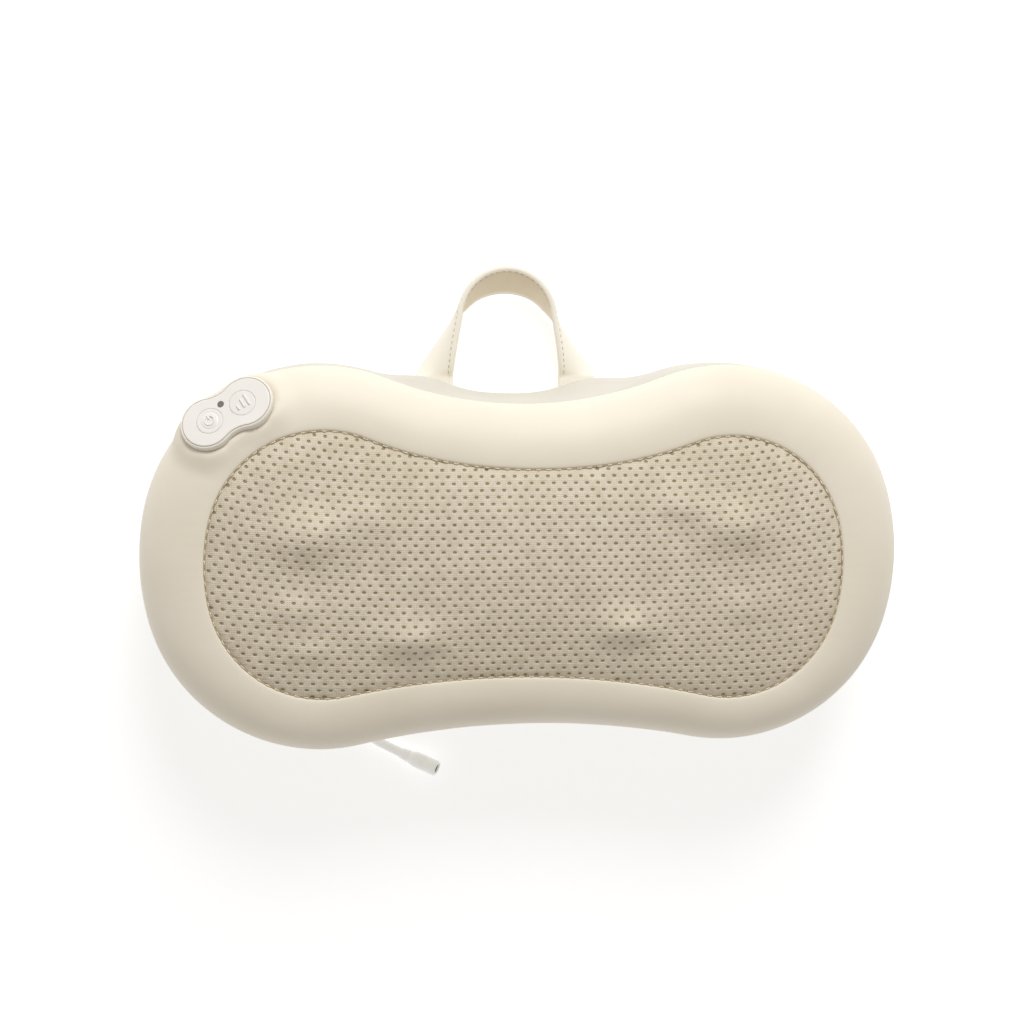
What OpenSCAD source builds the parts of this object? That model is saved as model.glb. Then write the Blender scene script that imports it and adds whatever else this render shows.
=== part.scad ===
// Shiatsu neck massager lying on its back, in millimetres.
// X runs along the cushion, Y points to the carry handle, Z comes out of the massage face.
// The origin is the middle of the flat back face.

/* [Cushion] */
// Length of the cushion along X
body_l = 380; // [376:1:384]
// Width across a lobe along Y
body_w = 191.2; // [190:0.4:192.4]
// Radius of the two round ends
end_r = 126; // [122:1:130]
// Radius of the four lobes
lobe_r = 87.8; // [87:0.2:88.6]
// Depth of the waist on the handle side, at the front seam
waist_front = 19.1; // [18.5:0.1:19.5]
// Depth of the waist on the handle side, at the rear seam
waist_rear = 15.6; // [15:0.1:16]
// Depth of the waist on the side away from the handle
waist_low = 10.6; // [10:0.1:11]
// Height of the front seam above the back face
seam_z = 54; // [53:0.5:55]
// Height of the stitched edge of the mesh window
window_z = 82; // [81.5:0.5:83]
// Width of the padded border round the mesh window
border_w = 31; // [30.5:0.5:31.5]
// Rise of the mesh in the middle of the window
mesh_rise = 8; // [7:0.5:9]
// Height that a large massage head lifts the mesh
bump_h = 6; // [3:0.5:6]

/* [Carry handle] */
// Width of the strap
strap_w = 19; // [18:0.5:19.5]
// Thickness of the strap
strap_t = 3; // [2.6:0.1:3]
// Radius of the bend at the top of the loop, to the middle of the strap's edge
loop_r = 24; // [23.5:0.5:24.5]
// Distance of the top of the loop from the hinge line
loop_l = 57; // [54:0.5:58]

/* [Massage rotors] */
// Distance of each massage head from its rotor's axis
orbit_r = 36; // [35:0.5:36]
// Radius of a large massage head
big_head_r = 15; // [14:0.5:15]
// Radius of a small massage head
small_head_r = 11.5; // [11:0.5:12]

/* [Control pad] */
// Radius of a push button
button_r = 6.7; // [6:0.1:6.7]
// Travel of a push button
button_travel = 0.8; // [0.5:0.1:0.8]

/* [Hidden] */
$fn = 48;

// cushion outline: round ends, lobes and hollow waists, all tangent
end_x = body_l / 2 - end_r;
lobe_y = body_w / 2 - lobe_r;
lobe_x = end_x + sqrt(pow(end_r - lobe_r, 2) - lobe_y * lobe_y);
end_turn = atan2(lobe_y, lobe_x - end_x);
side_gap = 0.3;       // clearance between soft pieces
base_t = 3.5;         // thickness of the back panel
base_inset = 8;       // distance of its edge from the outline
skin_t = 2;           // thickness of the cover fabric with its backing
rear_seam_z = 12;     // height at which the gusset reaches its full size
window_drop = 2.2;    // how far the window's middle lies from the cushion's, away from the handle

// zip along the back
zip_l = 210;
zip_w = 14;
zip_y = -41;
slider_l = 12;
slider_travel = 168;

// housing
house_inset = 19;
house_wall = 2.5;
floor_z = base_t + 0.1;
joint_z = 34;         // where the two housing shells meet
deck_z = 44;          // underside of the front plate
deck_t = 2.5;
screw_spots = [[150, 18], [150, -18], [96, 58], [96, -58], [30, 44], [46, -56]];

// gear train: worm, two worm wheels with pinions, two output gears
gear_m = 1.5;
out_teeth = 60;
pinion_teeth = 12;
pressure = 25;
out_r = gear_m * out_teeth / 2;
pinion_r = gear_m * pinion_teeth / 2;
wheel_teeth = 30;
worm_m = 1.25;
worm_pitch = PI * worm_m;
wheel_r = worm_m * wheel_teeth / 2;
worm_r = 5.25;
axle_x = wheel_r + worm_r;
rotor_x = axle_x + pinion_r + out_r;
rotor_y = -4;
shaft_z = 28;
shaft_r = 1.15;
worm_l = 28;
axle_r = 2.5;
axle_foot = 8;        // height of the axles' lower ends
run = 0.05;           // radial running clearance
gear_z = 32.5;
gear_t = 7.5;
hub_r = 16;
post_r = 10;
bush_t = 1.5;
post_top = 56;
lamp_r = 12;
carrier_z = 48.5;
carrier_t = 5;

// massage heads: two large, then two small
pin_r = 4;
pin_top = 73;
head_base = 54.3;
big_z = 68;
small_z = 66;
head_angles = [135, 315, 60, 240];    // on the left rotor; the right one is its mirror image

// main board: height of its underside, and its thickness
board_z = 10;
board_t = 1.6;

// motor
motor_r = 13.85;
motor_y = 16;
motor_l = 32;

// control pad: its face is centred on pad_at, turned about Z and tilted about its long axis
pad_at = [-145.4, 74.1, 80];
pad_turn = 29;
pad_tilt = 30;
pad_lobe_x = 10.3;
pad_lobe_r = 13;
pad_waist = 11;
pad_depth = 9.5;
cover_t = 2.6;
pad_fillet = (pow(pad_lobe_x, 2) + pow(pad_waist, 2) - pow(pad_lobe_r, 2)) / (2 * (pad_lobe_r - pad_waist));
button_x = 8.7;
button_top = 0.2;     // how far a button stands out of the face
board_top = -6;
switch_h = 0.7;
led_at = [-0.6, 5];
led_r = 1.6;

// carry handle
handle_x = -4.5;
hinge_y = 89;
hinge_z = 10;
leg_in = 27.5;        // distance of the inner edge of each leg from the middle
top_tilt = 53;        // slope of the strap at the top of the loop
leg_steps = 14;
bend_steps = 10;

// supply cord
cord_r = 2.5;
cord_exit = [-92, -91, 6];
cord_route = [
    [-92, -91, 6], [-89.5, -92.9, 6], [-87, -94.8, 5.9], [-84.5, -96.6, 5.8], [-82, -98.4, 5.7],
    [-79.5, -100.1, 5.6], [-77, -101.8, 5.4], [-74.5, -103.4, 5.2], [-72, -105, 5], [-69.5, -106.5, 4.8],
    [-67, -107.9, 4.6], [-64.5, -109.3, 4.5], [-62, -110.6, 4.4], [-60, -111.6, 4.4], [-58.5, -112.3, 4.4],
    [-57, -113, 4.4]
];
socket_dir = -21;
socket_l = 18;
socket_r = 4.2;

function mix(a, b, t) = a + (b - a) * t;
function spot(c, r, a) = [c[0] + r * cos(a), c[1] + r * sin(a)];

// quarter of the outline, moved in by d, from the round end to the waist
function waist_r(dip) =
    let (h = body_w / 2 - dip - lobe_y) (lobe_x * lobe_x + h * h - lobe_r * lobe_r) / (2 * (lobe_r - h));
function quarter(d, dip) =
    let (
        wr = waist_r(dip),
        wy = body_w / 2 - dip + wr,
        turn = atan2(wy - lobe_y, -lobe_x)
    ) concat(
        [for (i = [0 : 2]) spot([end_x, 0], end_r - d, end_turn * i / 3)],
        [for (i = [0 : 9]) spot([lobe_x, lobe_y], lobe_r - d, mix(end_turn, turn, i / 10))],
        [for (i = [0 : 7]) spot([0, wy], wr + d, mix(turn - 180, -90, i / 7))]
    );
q_n = 20;             // steps in a quarter
n = 4 * q_n;
function outline(d, dip = waist_front) =
    let (top = quarter(d, dip), low = quarter(d, waist_low)) concat(
        [for (i = [0 : q_n - 1]) top[i]],
        [for (i = [q_n : -1 : 1]) [-top[i][0], top[i][1]]],
        [for (i = [0 : q_n - 1]) [-low[i][0], -low[i][1]]],
        [for (i = [q_n : -1 : 1]) [low[i][0], -low[i][1]]]
    );
// the waist is shallower at the back than at the front seam
function share(x, from, to) = min(1, max(0, (x - from) / (to - from)));
function dip_at(z) = mix(waist_rear, waist_front, share(z, rear_seam_z, seam_z));
function ring(d, z) =
    let (drop = window_drop * share(z, seam_z, window_z))
    [for (p = outline(d, dip_at(z))) [p[0], p[1] - drop, z]];

// skin through closed rings, the last joined to the first
module hoop(rings) {
    m = len(rings);
    k = len(rings[0]);
    polyhedron(
        points = [for (r = rings) each r],
        faces = [for (j = [0 : m - 1], i = [0 : k - 1])
            let (a = j * k, b = ((j + 1) % m) * k, e = (i + 1) % k)
            [a + i, b + i, b + e, a + e]],
        convexity = 8
    );
}

// skin along stations, each a closed section, with flat ends
module sweep(sections) {
    m = len(sections);
    k = len(sections[0]);
    polyhedron(
        points = [for (s = sections) each s],
        faces = concat(
            [for (j = [0 : m - 2], i = [0 : k - 1]) let (a = j * k, b = a + k, e = (i + 1) % k)
                [a + i, a + e, b + e, b + i]],
            [[for (i = [k - 1 : -1 : 0]) i]],
            [[for (i = [0 : k - 1]) (m - 1) * k + i]]
        ),
        convexity = 6
    );
}

// round tube along a route
function unit(v) = v / norm(v);
function heading(p, i) = unit(p[min(i + 1, len(p) - 1)] - p[max(i - 1, 0)]);
function tube_section(p, i, r, sides) =
    let (t = heading(p, i), side = unit(cross(t, [0.02, 0.03, 1])), up = cross(side, t))
    [for (a = [0 : sides - 1]) p[i] + r * (cos(a * 360 / sides) * side + sin(a * 360 / sides) * up)];
module tube(p, r, sides = 8) sweep([for (i = [0 : len(p) - 1]) tube_section(p, i, r, sides)]);

// quarter turns of the cushion's rolled edges: fraction of the height reached at fraction f of the width
function roll(f) = pow(1 - pow(1 - f, 2.3), 1 / 2.3);
roll_steps = [0, 0.012, 0.05, 0.13, 0.26, 0.45, 0.7, 1];

// sheet over the mesh window, from z = low(x, y) to low(x, y) + t
sheet_rows = 12;
window_edge = [for (p = outline(border_w + side_gap)) p - [0, window_drop]];
window_l = window_edge[0][0];
function sheet_spot(i, j) =
    let (a = window_edge[i], b = window_edge[n - i], f = j / sheet_rows) [mix(a[0], b[0], f), mix(a[1], b[1], f)];
function dome(i, j) =
    let (f = 2 * j / sheet_rows - 1, g = sheet_spot(i, j)[0] / window_l)
    sqrt((1 - f * f) * (1 - pow(g, 4)));
function bump(p, side) =
    bump_sum([for (k = [0 : 3]) let (r = norm(p - head_spot(side, k)), w = k < 2 ? 14 : 10)
        (k < 2 ? 1 : 0.4) * exp(-r * r / (2 * w * w))], 3);
function bump_sum(v, k) = k < 0 ? 0 : v[k] + bump_sum(v, k - 1);
module sheet(z, rise, t, bumps) {
    cols = n / 2 - 1;
    rows = sheet_rows + 1;
    grid = [for (i = [1 : cols], j = [0 : sheet_rows]) let (p = sheet_spot(i, j), d = dome(i, j))
        [p[0], p[1], z + rise * d + bumps * min(1, 1.6 * d) * (bump(p, -1) + bump(p, 1))]];
    c = cols * rows;
    polyhedron(
        points = concat(grid, [for (p = grid) p + [0, 0, t]]),
        faces = concat(
            [for (i = [0 : cols - 2], j = [0 : rows - 2]) let (a = i * rows + j)
                [a, a + rows, a + rows + 1, a + 1]],
            [for (i = [0 : cols - 2], j = [0 : rows - 2]) let (a = c + i * rows + j)
                [a, a + 1, a + rows + 1, a + rows]],
            [for (i = [0 : cols - 2]) let (a = i * rows) [a, c + a, c + a + rows, a + rows]],
            [for (i = [0 : cols - 2]) let (a = i * rows + rows - 1) [a, a + rows, c + a + rows, c + a]],
            [for (j = [0 : rows - 2]) [j, j + 1, c + j + 1, c + j]],
            [for (j = [0 : rows - 2]) let (a = (cols - 1) * rows + j) [a, c + a, c + a + 1, a + 1]]
        ),
        convexity = 8
    );
}

// places that several pieces share
module at_rotor(side) translate([side * rotor_x, rotor_y, 0]) children();
module at_axle(side) translate([side * axle_x, rotor_y, 0]) children();
module in_pad() translate(pad_at) rotate([0, 0, pad_turn]) rotate([-pad_tilt, 0, 0]) children();
module lead_channel(r) {
    // the supply cord's straight way from inside the housing to the rear roll of the cushion
    turn = atan2(cord_route[1][1] - cord_exit[1], cord_route[1][0] - cord_exit[0]);
    translate(cord_exit) rotate([0, 0, turn]) rotate([0, -90, 0])
        translate([0, 0, -9]) cylinder(r = r, h = 47);
}
module pad_channel(r) in_pad() translate([0, 0, -52]) cylinder(r = r, h = 44);
function head_angle(side, k) = side < 0 ? head_angles[k] : 180 - head_angles[k];
function head_spot(side, k) = spot([side * rotor_x, rotor_y], orbit_r, head_angle(side, k));

// cover

module back_panel() color("#d9d2c1") difference() {
    linear_extrude(base_t) polygon(outline(base_inset + side_gap, waist_rear));
    translate([-zip_l / 2, zip_y - zip_w / 2, -1]) cube([zip_l, zip_w, base_t + 2]);
    lead_channel(4.3);
}

module zip_tapes() color("#cfc7b4") {
    // two tapes with the closed row of teeth between them
    for (s = [-1, 1]) translate([-zip_l / 2 + side_gap, zip_y + (s < 0 ? 0.05 - zip_w / 2 : 0.05), 2.7])
        cube([zip_l - 2 * side_gap, zip_w / 2 - 0.1, 0.75]);
    for (k = [0 : 33]) translate([-zip_l / 2 + 3.5 + k * 6, zip_y - 2.2, 1.9]) cube([4, 4.4, 0.8]);
}

module zip_slider() color("#b9b2a4") translate([-slider_travel / 2, zip_y, 0.4]) {
    linear_extrude(1.2) difference() {
        union() {
            translate([-slider_l / 2, -4]) square([slider_l, 8]);
            translate([-slider_l / 2 - 12, -2.5]) square([12, 5]);
            translate([-slider_l / 2 - 12, 0]) circle(2.5);
        }
        translate([-slider_l / 2 - 12, 0]) circle(1.2);
    }
}

// section of the cover's side, outside then inside: [distance in from the outline, height]
gusset_out = [
    [base_inset, 0.6], [base_inset - 2.6, 2], [3, 4.4], [1, 7.6], [0, rear_seam_z], [-0.6, 33], [0, seam_z]
];
module side_gusset() color("#e3decf") difference() {
    hoop([
        for (p = gusset_out) ring(p[0], p[1]),
        for (i = [len(gusset_out) - 1 : -1 : 0]) let (p = gusset_out[i])
            ring(p[0] + (i == 0 ? 0 : skin_t), i == 0 ? base_t : p[1] + (i < 4 ? 1.2 : 0))
    ]);
    lead_channel(4.3);
}

module front_border() color("#efe9db") difference() {
    hoop([
        for (f = roll_steps) ring(f * border_w, seam_z + (window_z - seam_z) * roll(f)),
        for (i = [len(roll_steps) - 1 : -1 : 0]) let (f = roll_steps[i])
            ring(skin_t + f * (border_w - skin_t), seam_z + (window_z - seam_z - skin_t) * roll(f))
    ]);
    in_pad() translate([0, 0, -pad_depth - 0.3]) linear_extrude(40) peanut(pad_lobe_r + 0.3);
}

module front_mesh_panel() color("#d3cab5") sheet(window_z - 0.6, mesh_rise, 2.5, bump_h);

module inner_lining() color("#a59c87") sheet(window_z - 2.9, mesh_rise - 2, 1, 0);

module foam_surround() color("#e8d9a8") difference() {
    hoop([
        ring(base_inset + 3, base_t + 0.5), ring(6, 7), ring(skin_t + 1.2, rear_seam_z + 1),
        ring(skin_t + side_gap, 33), ring(skin_t + side_gap, seam_z),
        for (f = [0.04, 0.14, 0.3, 0.5, 0.75, 1])
            ring(mix(skin_t + 1, border_w, f), mix(seam_z, window_z - skin_t - 1, roll(f)) - side_gap),
        ring(border_w + 1.5, window_z - 4.4), ring(border_w + 1.5, window_z - 9), ring(26, deck_z + 10),
        ring(house_inset - side_gap, deck_z + deck_t + 1), ring(house_inset - side_gap, base_t + 0.5)
    ]);
    lead_channel(4.3);
    pad_channel(2.5);
    in_pad() translate([0, 0, -pad_depth - 0.3]) linear_extrude(40) peanut(pad_lobe_r + 0.3);
}

// carry handle: a flat strap whose legs turn over on the way up, so that it stands on edge at the top

leg_l = loop_l - loop_r;
function strap_turn(y) = 90 * (1 - pow(max(0, 1 - y / (leg_l + 5)), 1.25));
// inner edge at distance s up the right leg, or at angle a round the bend; w points across the strap
function leg_edge(y) = [mix(leg_in, loop_r, pow(y / leg_l, 1.4)), y];
function across(y) =
    let (f = min(1, y / (leg_l + 5)), c = cos(strap_turn(y)), lean = sin(90 - top_tilt) * f)
    unit([c, -lean, -sqrt(max(0, 1 - c * c - lean * lean))]);
function strap_half() = concat(
    [for (i = [0 : leg_steps - 1]) let (y = leg_l * i / leg_steps) [leg_edge(y), across(y)]],
    [for (i = [0 : bend_steps]) let (a = 90 * i / bend_steps)
        [spot([0, leg_l], loop_r, a), across(leg_l + loop_r * sin(a))]]
);
function flip(v) = [-v[0], v[1], v[2]];
strap_line = let (h = strap_half(), k = len(h)) concat(
    [for (s = h) [[s[0][0], s[0][1], 0], s[1]]],
    [for (i = [k - 2 : -1 : 0]) [[-h[i][0][0], h[i][0][1], 0], flip(h[i][1])]]
);
// the strap turns about its middle line, which stays at the height of the hinge
function strap_corner(i, u, v) =
    let (
        s = strap_line[i],
        k = len(strap_line),
        along = unit(strap_line[min(i + 1, k - 1)][0] - strap_line[max(i - 1, 0)][0]),
        face = unit(cross(along, s[1]))
    ) s[0] - [0, 0, s[1][2] * strap_w / 2] + s[1] * strap_w * u - face * strap_t / 2 * v;
module carry_handle() color("#efe8d8") translate([handle_x, hinge_y, hinge_z]) {
    sweep([for (i = [0 : len(strap_line) - 1])
        [for (c = [[0, -0.4], [0.06, -1], [0.94, -1], [1, -0.4], [1, 0.4], [0.94, 1], [0.06, 1], [0, 0.4]])
            strap_corner(i, c[0], c[1])]]);
    for (s = [-1, 1]) translate([s * (leg_in + strap_w / 2), 0, 0]) rotate([0, 90, 0])
        cylinder(r = strap_t / 2, h = strap_w, center = true);
}

module handle_tabs() color("#efe8d8") for (s = [-1, 1]) {
    x0 = handle_x + s * leg_in;
    x1 = handle_x + s * (leg_in + strap_w);
    translate([0, 0, hinge_z - strap_t / 2]) linear_extrude(strap_t) difference() {
        translate([min(x0, x1), hinge_y - 12]) square([strap_w, 12 - strap_t / 2 - 1]);
        polygon(outline(0.1, waist_rear));
    }
}

// housing

module boss(p, r, h, hole) translate(p) difference() {
    cylinder(r = r, h = h);
    translate([0, 0, -1]) cylinder(r = hole, h = h + 2);
}
module each_screw() for (p = screw_spots, s = [-1, 1]) translate([s * p[0], p[1], 0]) children();

module rear_housing() color("#d8d8d4") difference() {
    union() {
        translate([0, 0, floor_z]) linear_extrude(house_wall) polygon(outline(house_inset));
        translate([0, 0, floor_z + 1]) linear_extrude(joint_z - floor_z - 1) difference() {
            polygon(outline(house_inset));
            polygon(outline(house_inset + house_wall));
        }
        for (s = [-1, 1]) {
            at_rotor(s) translate([0, 0, floor_z + 1]) cylinder(r = post_r, h = post_top - floor_z - 1);
            at_rotor(s) translate([0, 0, floor_z + 1]) cylinder(r = post_r + 4, h = gear_z - floor_z - 2);
            at_axle(s) translate([0, 0, floor_z + 1]) cylinder(r = 6, h = 17);
        }
        each_screw() translate([0, 0, floor_z + 1]) cylinder(r = 4.5, h = joint_z - floor_z - 1);
        // saddles under the motor and the upright that holds the worm's bush
        for (y = [22, 38]) translate([-12, y, floor_z + 1]) cube([24, 4, 17 - floor_z]);
        translate([-7, -27, floor_z + 1]) cube([14, 5, shaft_z + 6 - floor_z - 1]);
        for (x = [-33, 33], y = [-54, -36]) translate([x, y, floor_z + 1])
            cylinder(r = 3, h = board_z - floor_z - 1);
    }
    for (s = [-1, 1]) {
        at_rotor(s) translate([0, 0, floor_z + 4]) cylinder(r = 6, h = post_top);
        at_axle(s) translate([0, 0, axle_foot]) cylinder(r = axle_r, h = 30);
    }
    each_screw() {
        translate([0, 0, floor_z + 3]) cylinder(r = 1.6, h = joint_z);
        translate([0, 0, floor_z - 1]) cylinder(r = 3, h = 4.01);
    }
    translate([0, motor_y, shaft_z]) rotate([-90, 0, 0]) cylinder(r = motor_r, h = motor_l);
    translate([0, -30, shaft_z]) rotate([-90, 0, 0]) cylinder(r = 3, h = 12);
    lead_channel(3);
}

module front_housing() color("#d8d8d4") difference() {
    union() {
        translate([0, 0, deck_z]) linear_extrude(deck_t) polygon(outline(house_inset));
        translate([0, 0, joint_z]) linear_extrude(deck_z + 1 - joint_z) difference() {
            polygon(outline(house_inset));
            polygon(outline(house_inset + house_wall));
        }
        for (s = [-1, 1]) at_axle(s) translate([0, 0, 41.4]) cylinder(r = 5, h = deck_z - 41.4 + 1);
        each_screw() translate([0, 0, joint_z]) cylinder(r = 4.5, h = deck_z + 1 - joint_z);
    }
    for (s = [-1, 1]) {
        at_rotor(s) translate([0, 0, deck_z - 1]) cylinder(r = hub_r + 2, h = deck_t + 2);
        at_axle(s) translate([0, 0, 41]) cylinder(r = axle_r, h = 4);
    }
    each_screw() translate([0, 0, joint_z - 1]) cylinder(r = 1.5, h = 9);
    pad_channel(2.5);
}

module housing_screws() color("#b8bcc0") each_screw() {
    translate([0, 0, floor_z + 0.6]) difference() {
        cylinder(r = 2.8, h = 2.4);
        translate([0, 0, -1]) cylinder(r = 1.3, h = 2, $fn = 6);
    }
    translate([0, 0, floor_z + 2]) cylinder(r = 1.5, h = 36 - floor_z);
}

// motor and worm

module along_y(y) translate([0, y, shaft_z]) rotate([-90, 0, 0]) children();

module motor_can() color("#c4c8cc") along_y(motor_y) difference() {
    union() {
        cylinder(r = motor_r, h = motor_l);
        translate([0, 0, -1.5]) cylinder(r = 4, h = 3);
    }
    translate([0, 0, 1]) cylinder(r = motor_r - 1, h = motor_l);
    translate([0, 0, -2]) cylinder(r = shaft_r + run, h = 6);
}

module motor_end_cap() color("#3a3a3c") along_y(motor_y + motor_l) difference() {
    union() {
        cylinder(r = motor_r, h = 2);
        cylinder(r = 4.5, h = 4.5);
        for (x = [-8, 8]) translate([x - 1.5, -2.5, 1]) cube([3, 5, 3.2]);
    }
    translate([0, 0, -1]) cylinder(r = shaft_r + run, h = 4);
}

module motor_bracket() color("#aab0b4") difference() {
    translate([-14.5, motor_y - 1.5, floor_z + house_wall]) cube([29, 1.5, 34]);
    along_y(motor_y - 3) cylinder(r = 4, h = 5);
    for (x = [-8, 8]) translate([x, 0, 0]) along_y(motor_y - 3) cylinder(r = 1.6, h = 5);
}

module motor_armature() color("#9a5a34") along_y(motor_y + 4) difference() {
    union() {
        for (k = [0 : 2]) rotate([0, 0, 120 * k]) translate([0, 4.6, 0]) {
            translate([-2, -4, 0]) cube([4, 8, 20]);
            translate([-5.5, 3, 0]) cube([11, 2, 20]);
        }
        cylinder(r = 3.4, h = 24);
    }
    translate([0, 0, -1]) cylinder(r = shaft_r, h = 30);
}

module drive_shaft() color("#d4d8dc") along_y(-28) cylinder(r = shaft_r, h = motor_y + motor_l + 29);

// single-start worm: its cross-section twisted along its length, with a crest towards +X at the middle
module worm() color("#e9e4d2") along_y(rotor_y - worm_l / 2) difference() {
    root_r = worm_r - 1.5;
    crest_r = worm_r + worm_m;
    turn = 360 / worm_pitch;
    start = -turn * worm_l / 2;
    profile = [[-0.9, root_r], [-0.4, crest_r], [0.4, crest_r], [0.9, root_r]];
    linear_extrude(worm_l, twist = 2 * start, slices = 84, $fn = 14) polygon(concat(
        [for (p = profile) spot([0, 0], p[1], start - p[0] * turn)],
        [for (k = [1 : 9]) spot([0, 0], root_r, start - 0.9 * turn - k * (36 - 0.18 * turn))]
    ));
    translate([0, 0, -1]) cylinder(r = shaft_r + 0.02, h = worm_l + 2);
}

module worm_bush() color("#b08d4a") along_y(-27) difference() {
    cylinder(r = 3, h = 5);
    translate([0, 0, -1]) cylinder(r = shaft_r + run, h = 8);
}

module thermal_cutout() color("#2c2c2e") translate([-5, 28, shaft_z + motor_r]) cube([10, 6, 1.9]);

// gears

// involute gear, its teeth thinned by slack at the pitch circle; tooth 0 is centred on angle phase
function inv_angle(a) = tan(a) * 180 / PI - a;
function flank(r, base) = inv_angle(acos(min(1, base / r)));
module involute_gear(m, teeth, phase, slack) {
    pitch = m * teeth / 2;
    base = pitch * cos(pressure);
    tip = pitch + 0.85 * m;
    root = pitch - 1.15 * m;
    half = 90 / teeth - slack / pitch * 90 / PI + inv_angle(pressure);
    radii = [for (i = [0 : 3]) mix(max(base, root), tip, i / 3)];
    foot = base > root ? [root] : [];
    polygon([for (k = [0 : teeth - 1]) let (a = phase + 360 * k / teeth) each concat(
        [for (r = foot) spot([0, 0], r, a - half)],
        [for (r = radii) spot([0, 0], r, a - half + flank(r, base))],
        [for (i = [3 : -1 : 0]) spot([0, 0], radii[i], a + half - flank(radii[i], base))],
        [for (r = foot) spot([0, 0], r, a + half)]
    )]);
}

// worm wheel with narrow straight teeth
module wheel_outline(phase) polygon([for (k = [0 : wheel_teeth - 1]) let (a = phase + 360 * k / wheel_teeth)
    each [spot([0, 0], wheel_r - 1.5, a - 2.9), spot([0, 0], wheel_r + worm_m, a - 1.1),
        spot([0, 0], wheel_r + worm_m, a + 1.1), spot([0, 0], wheel_r - 1.5, a + 2.9)]]);

module reduction_gear(side) color("#e9e4d2") at_axle(side) difference() {
    union() {
        translate([0, 0, shaft_z - 3.5]) linear_extrude(7) wheel_outline(side < 0 ? 0 : 6);
        translate([0, 0, 31]) linear_extrude(10) involute_gear(gear_m, pinion_teeth, 15, 0.2);
        translate([0, 0, 22.2]) cylinder(r = 5, h = 10);
    }
    translate([0, 0, 20]) cylinder(r = axle_r + run, h = 30);
}
module left_reduction_gear() reduction_gear(-1);
module right_reduction_gear() reduction_gear(1);

module reduction_axle(side) color("#d4d8dc") at_axle(side) translate([0, 0, axle_foot])
    cylinder(r = axle_r, h = deck_z - axle_foot - 0.2);
module left_reduction_axle() reduction_axle(-1);
module right_reduction_axle() reduction_axle(1);

module rotor_bush(side) color("#b08d4a") at_rotor(side) translate([0, 0, gear_z - 1]) difference() {
    cylinder(r = post_r + bush_t, h = post_top - gear_z);
    translate([0, 0, -1]) cylinder(r = post_r, h = post_top);
}
module left_rotor_bush() rotor_bush(-1);
module right_rotor_bush() rotor_bush(1);

module output_gear(side) color("#f0ecdf") at_rotor(side) difference() {
    union() {
        translate([0, 0, gear_z]) linear_extrude(gear_t) difference() {
            involute_gear(gear_m, out_teeth, 0, 0.2);
            for (k = [0 : 5]) rotate(60 * k + 30) translate([29.5, 0]) circle(8);
        }
        translate([0, 0, gear_z]) cylinder(r = hub_r, h = carrier_z - gear_z);
    }
    translate([0, 0, gear_z - 1]) cylinder(r = post_r + bush_t + run, h = 30);
}
module left_output_gear() output_gear(-1);
module right_output_gear() output_gear(1);

module massage_carrier(side) color("#55585c") at_rotor(side) translate([0, 0, carrier_z]) difference() {
    union() {
        cylinder(r = 20, h = carrier_t);
        for (k = [0 : 3]) rotate(head_angle(side, k)) {
            translate([12, -6, 0]) cube([orbit_r - 12, 12, carrier_t]);
            translate([orbit_r, 0, 0]) cylinder(r = 8, h = carrier_t);
        }
    }
    translate([0, 0, -1]) cylinder(r = post_r + bush_t + run, h = carrier_t + 2);
    for (k = [0 : 3]) rotate(head_angle(side, k)) translate([orbit_r, 0, -1])
        cylinder(r = pin_r, h = carrier_t + 2);
}
module left_massage_carrier() massage_carrier(-1);
module right_massage_carrier() massage_carrier(1);

// the large heads' posts reach higher than the small ones'
function post_end(k) = k < 2 ? pin_top : pin_top - 5;
module head_posts(side) color("#d4d8dc") for (k = [0 : 3]) translate([each head_spot(side, k), carrier_z])
    cylinder(r = pin_r, h = post_end(k) - carrier_z);
module left_head_posts() head_posts(-1);
module right_head_posts() head_posts(1);

// massage head: a ball with a collar, turned grooves and a blind bore for its post
module massage_head(side, k) {
    r = k < 2 ? big_head_r : small_head_r;
    z = k < 2 ? big_z : small_z;
    color("#e2a05a") translate([each head_spot(side, k), 0]) difference() {
        union() {
            translate([0, 0, z]) sphere(r = r);
            translate([0, 0, head_base]) cylinder(r = r * 0.62, h = z - head_base);
        }
        translate([0, 0, head_base - 1])
            cylinder(r = pin_r + run, h = post_end(k) - head_base + 1.3);
        translate([0, 0, head_base - r]) cylinder(r = r + 1, h = r);
        translate([0, 0, z - 1]) rotate_extrude() translate([r, 0]) circle(0.8);
    }
}
module left_big_head_1() massage_head(-1, 0);
module left_big_head_2() massage_head(-1, 1);
module left_small_head_1() massage_head(-1, 2);
module left_small_head_2() massage_head(-1, 3);
module right_big_head_1() massage_head(1, 0);
module right_big_head_2() massage_head(1, 1);
module right_small_head_1() massage_head(1, 2);
module right_small_head_2() massage_head(1, 3);

// heat lamps

module lamp_board(side) color("#2f6b45") at_rotor(side) translate([0, 0, post_top]) {
    cylinder(r = 10.5, h = 1.6);
    for (k = [0 : 3]) rotate(90 * k) translate([3.5, -1.2, 1.6]) cube([2.4, 2.4, 1.2]);
}
module left_lamp_board() lamp_board(-1);
module right_lamp_board() lamp_board(1);

module lamp_dome(side) color("#c8402e") at_rotor(side) translate([0, 0, post_top + 1.6]) difference() {
    sphere(r = lamp_r);
    sphere(r = lamp_r - 1.4);
    translate([0, 0, -lamp_r - 1]) cylinder(r = lamp_r + 1, h = lamp_r + 1);
}
module left_lamp_dome() lamp_dome(-1);
module right_lamp_dome() lamp_dome(1);

// electronics

module main_board() color("#2f6b45") translate([-38, -58, board_z]) cube([76, 26, board_t]);

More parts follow.
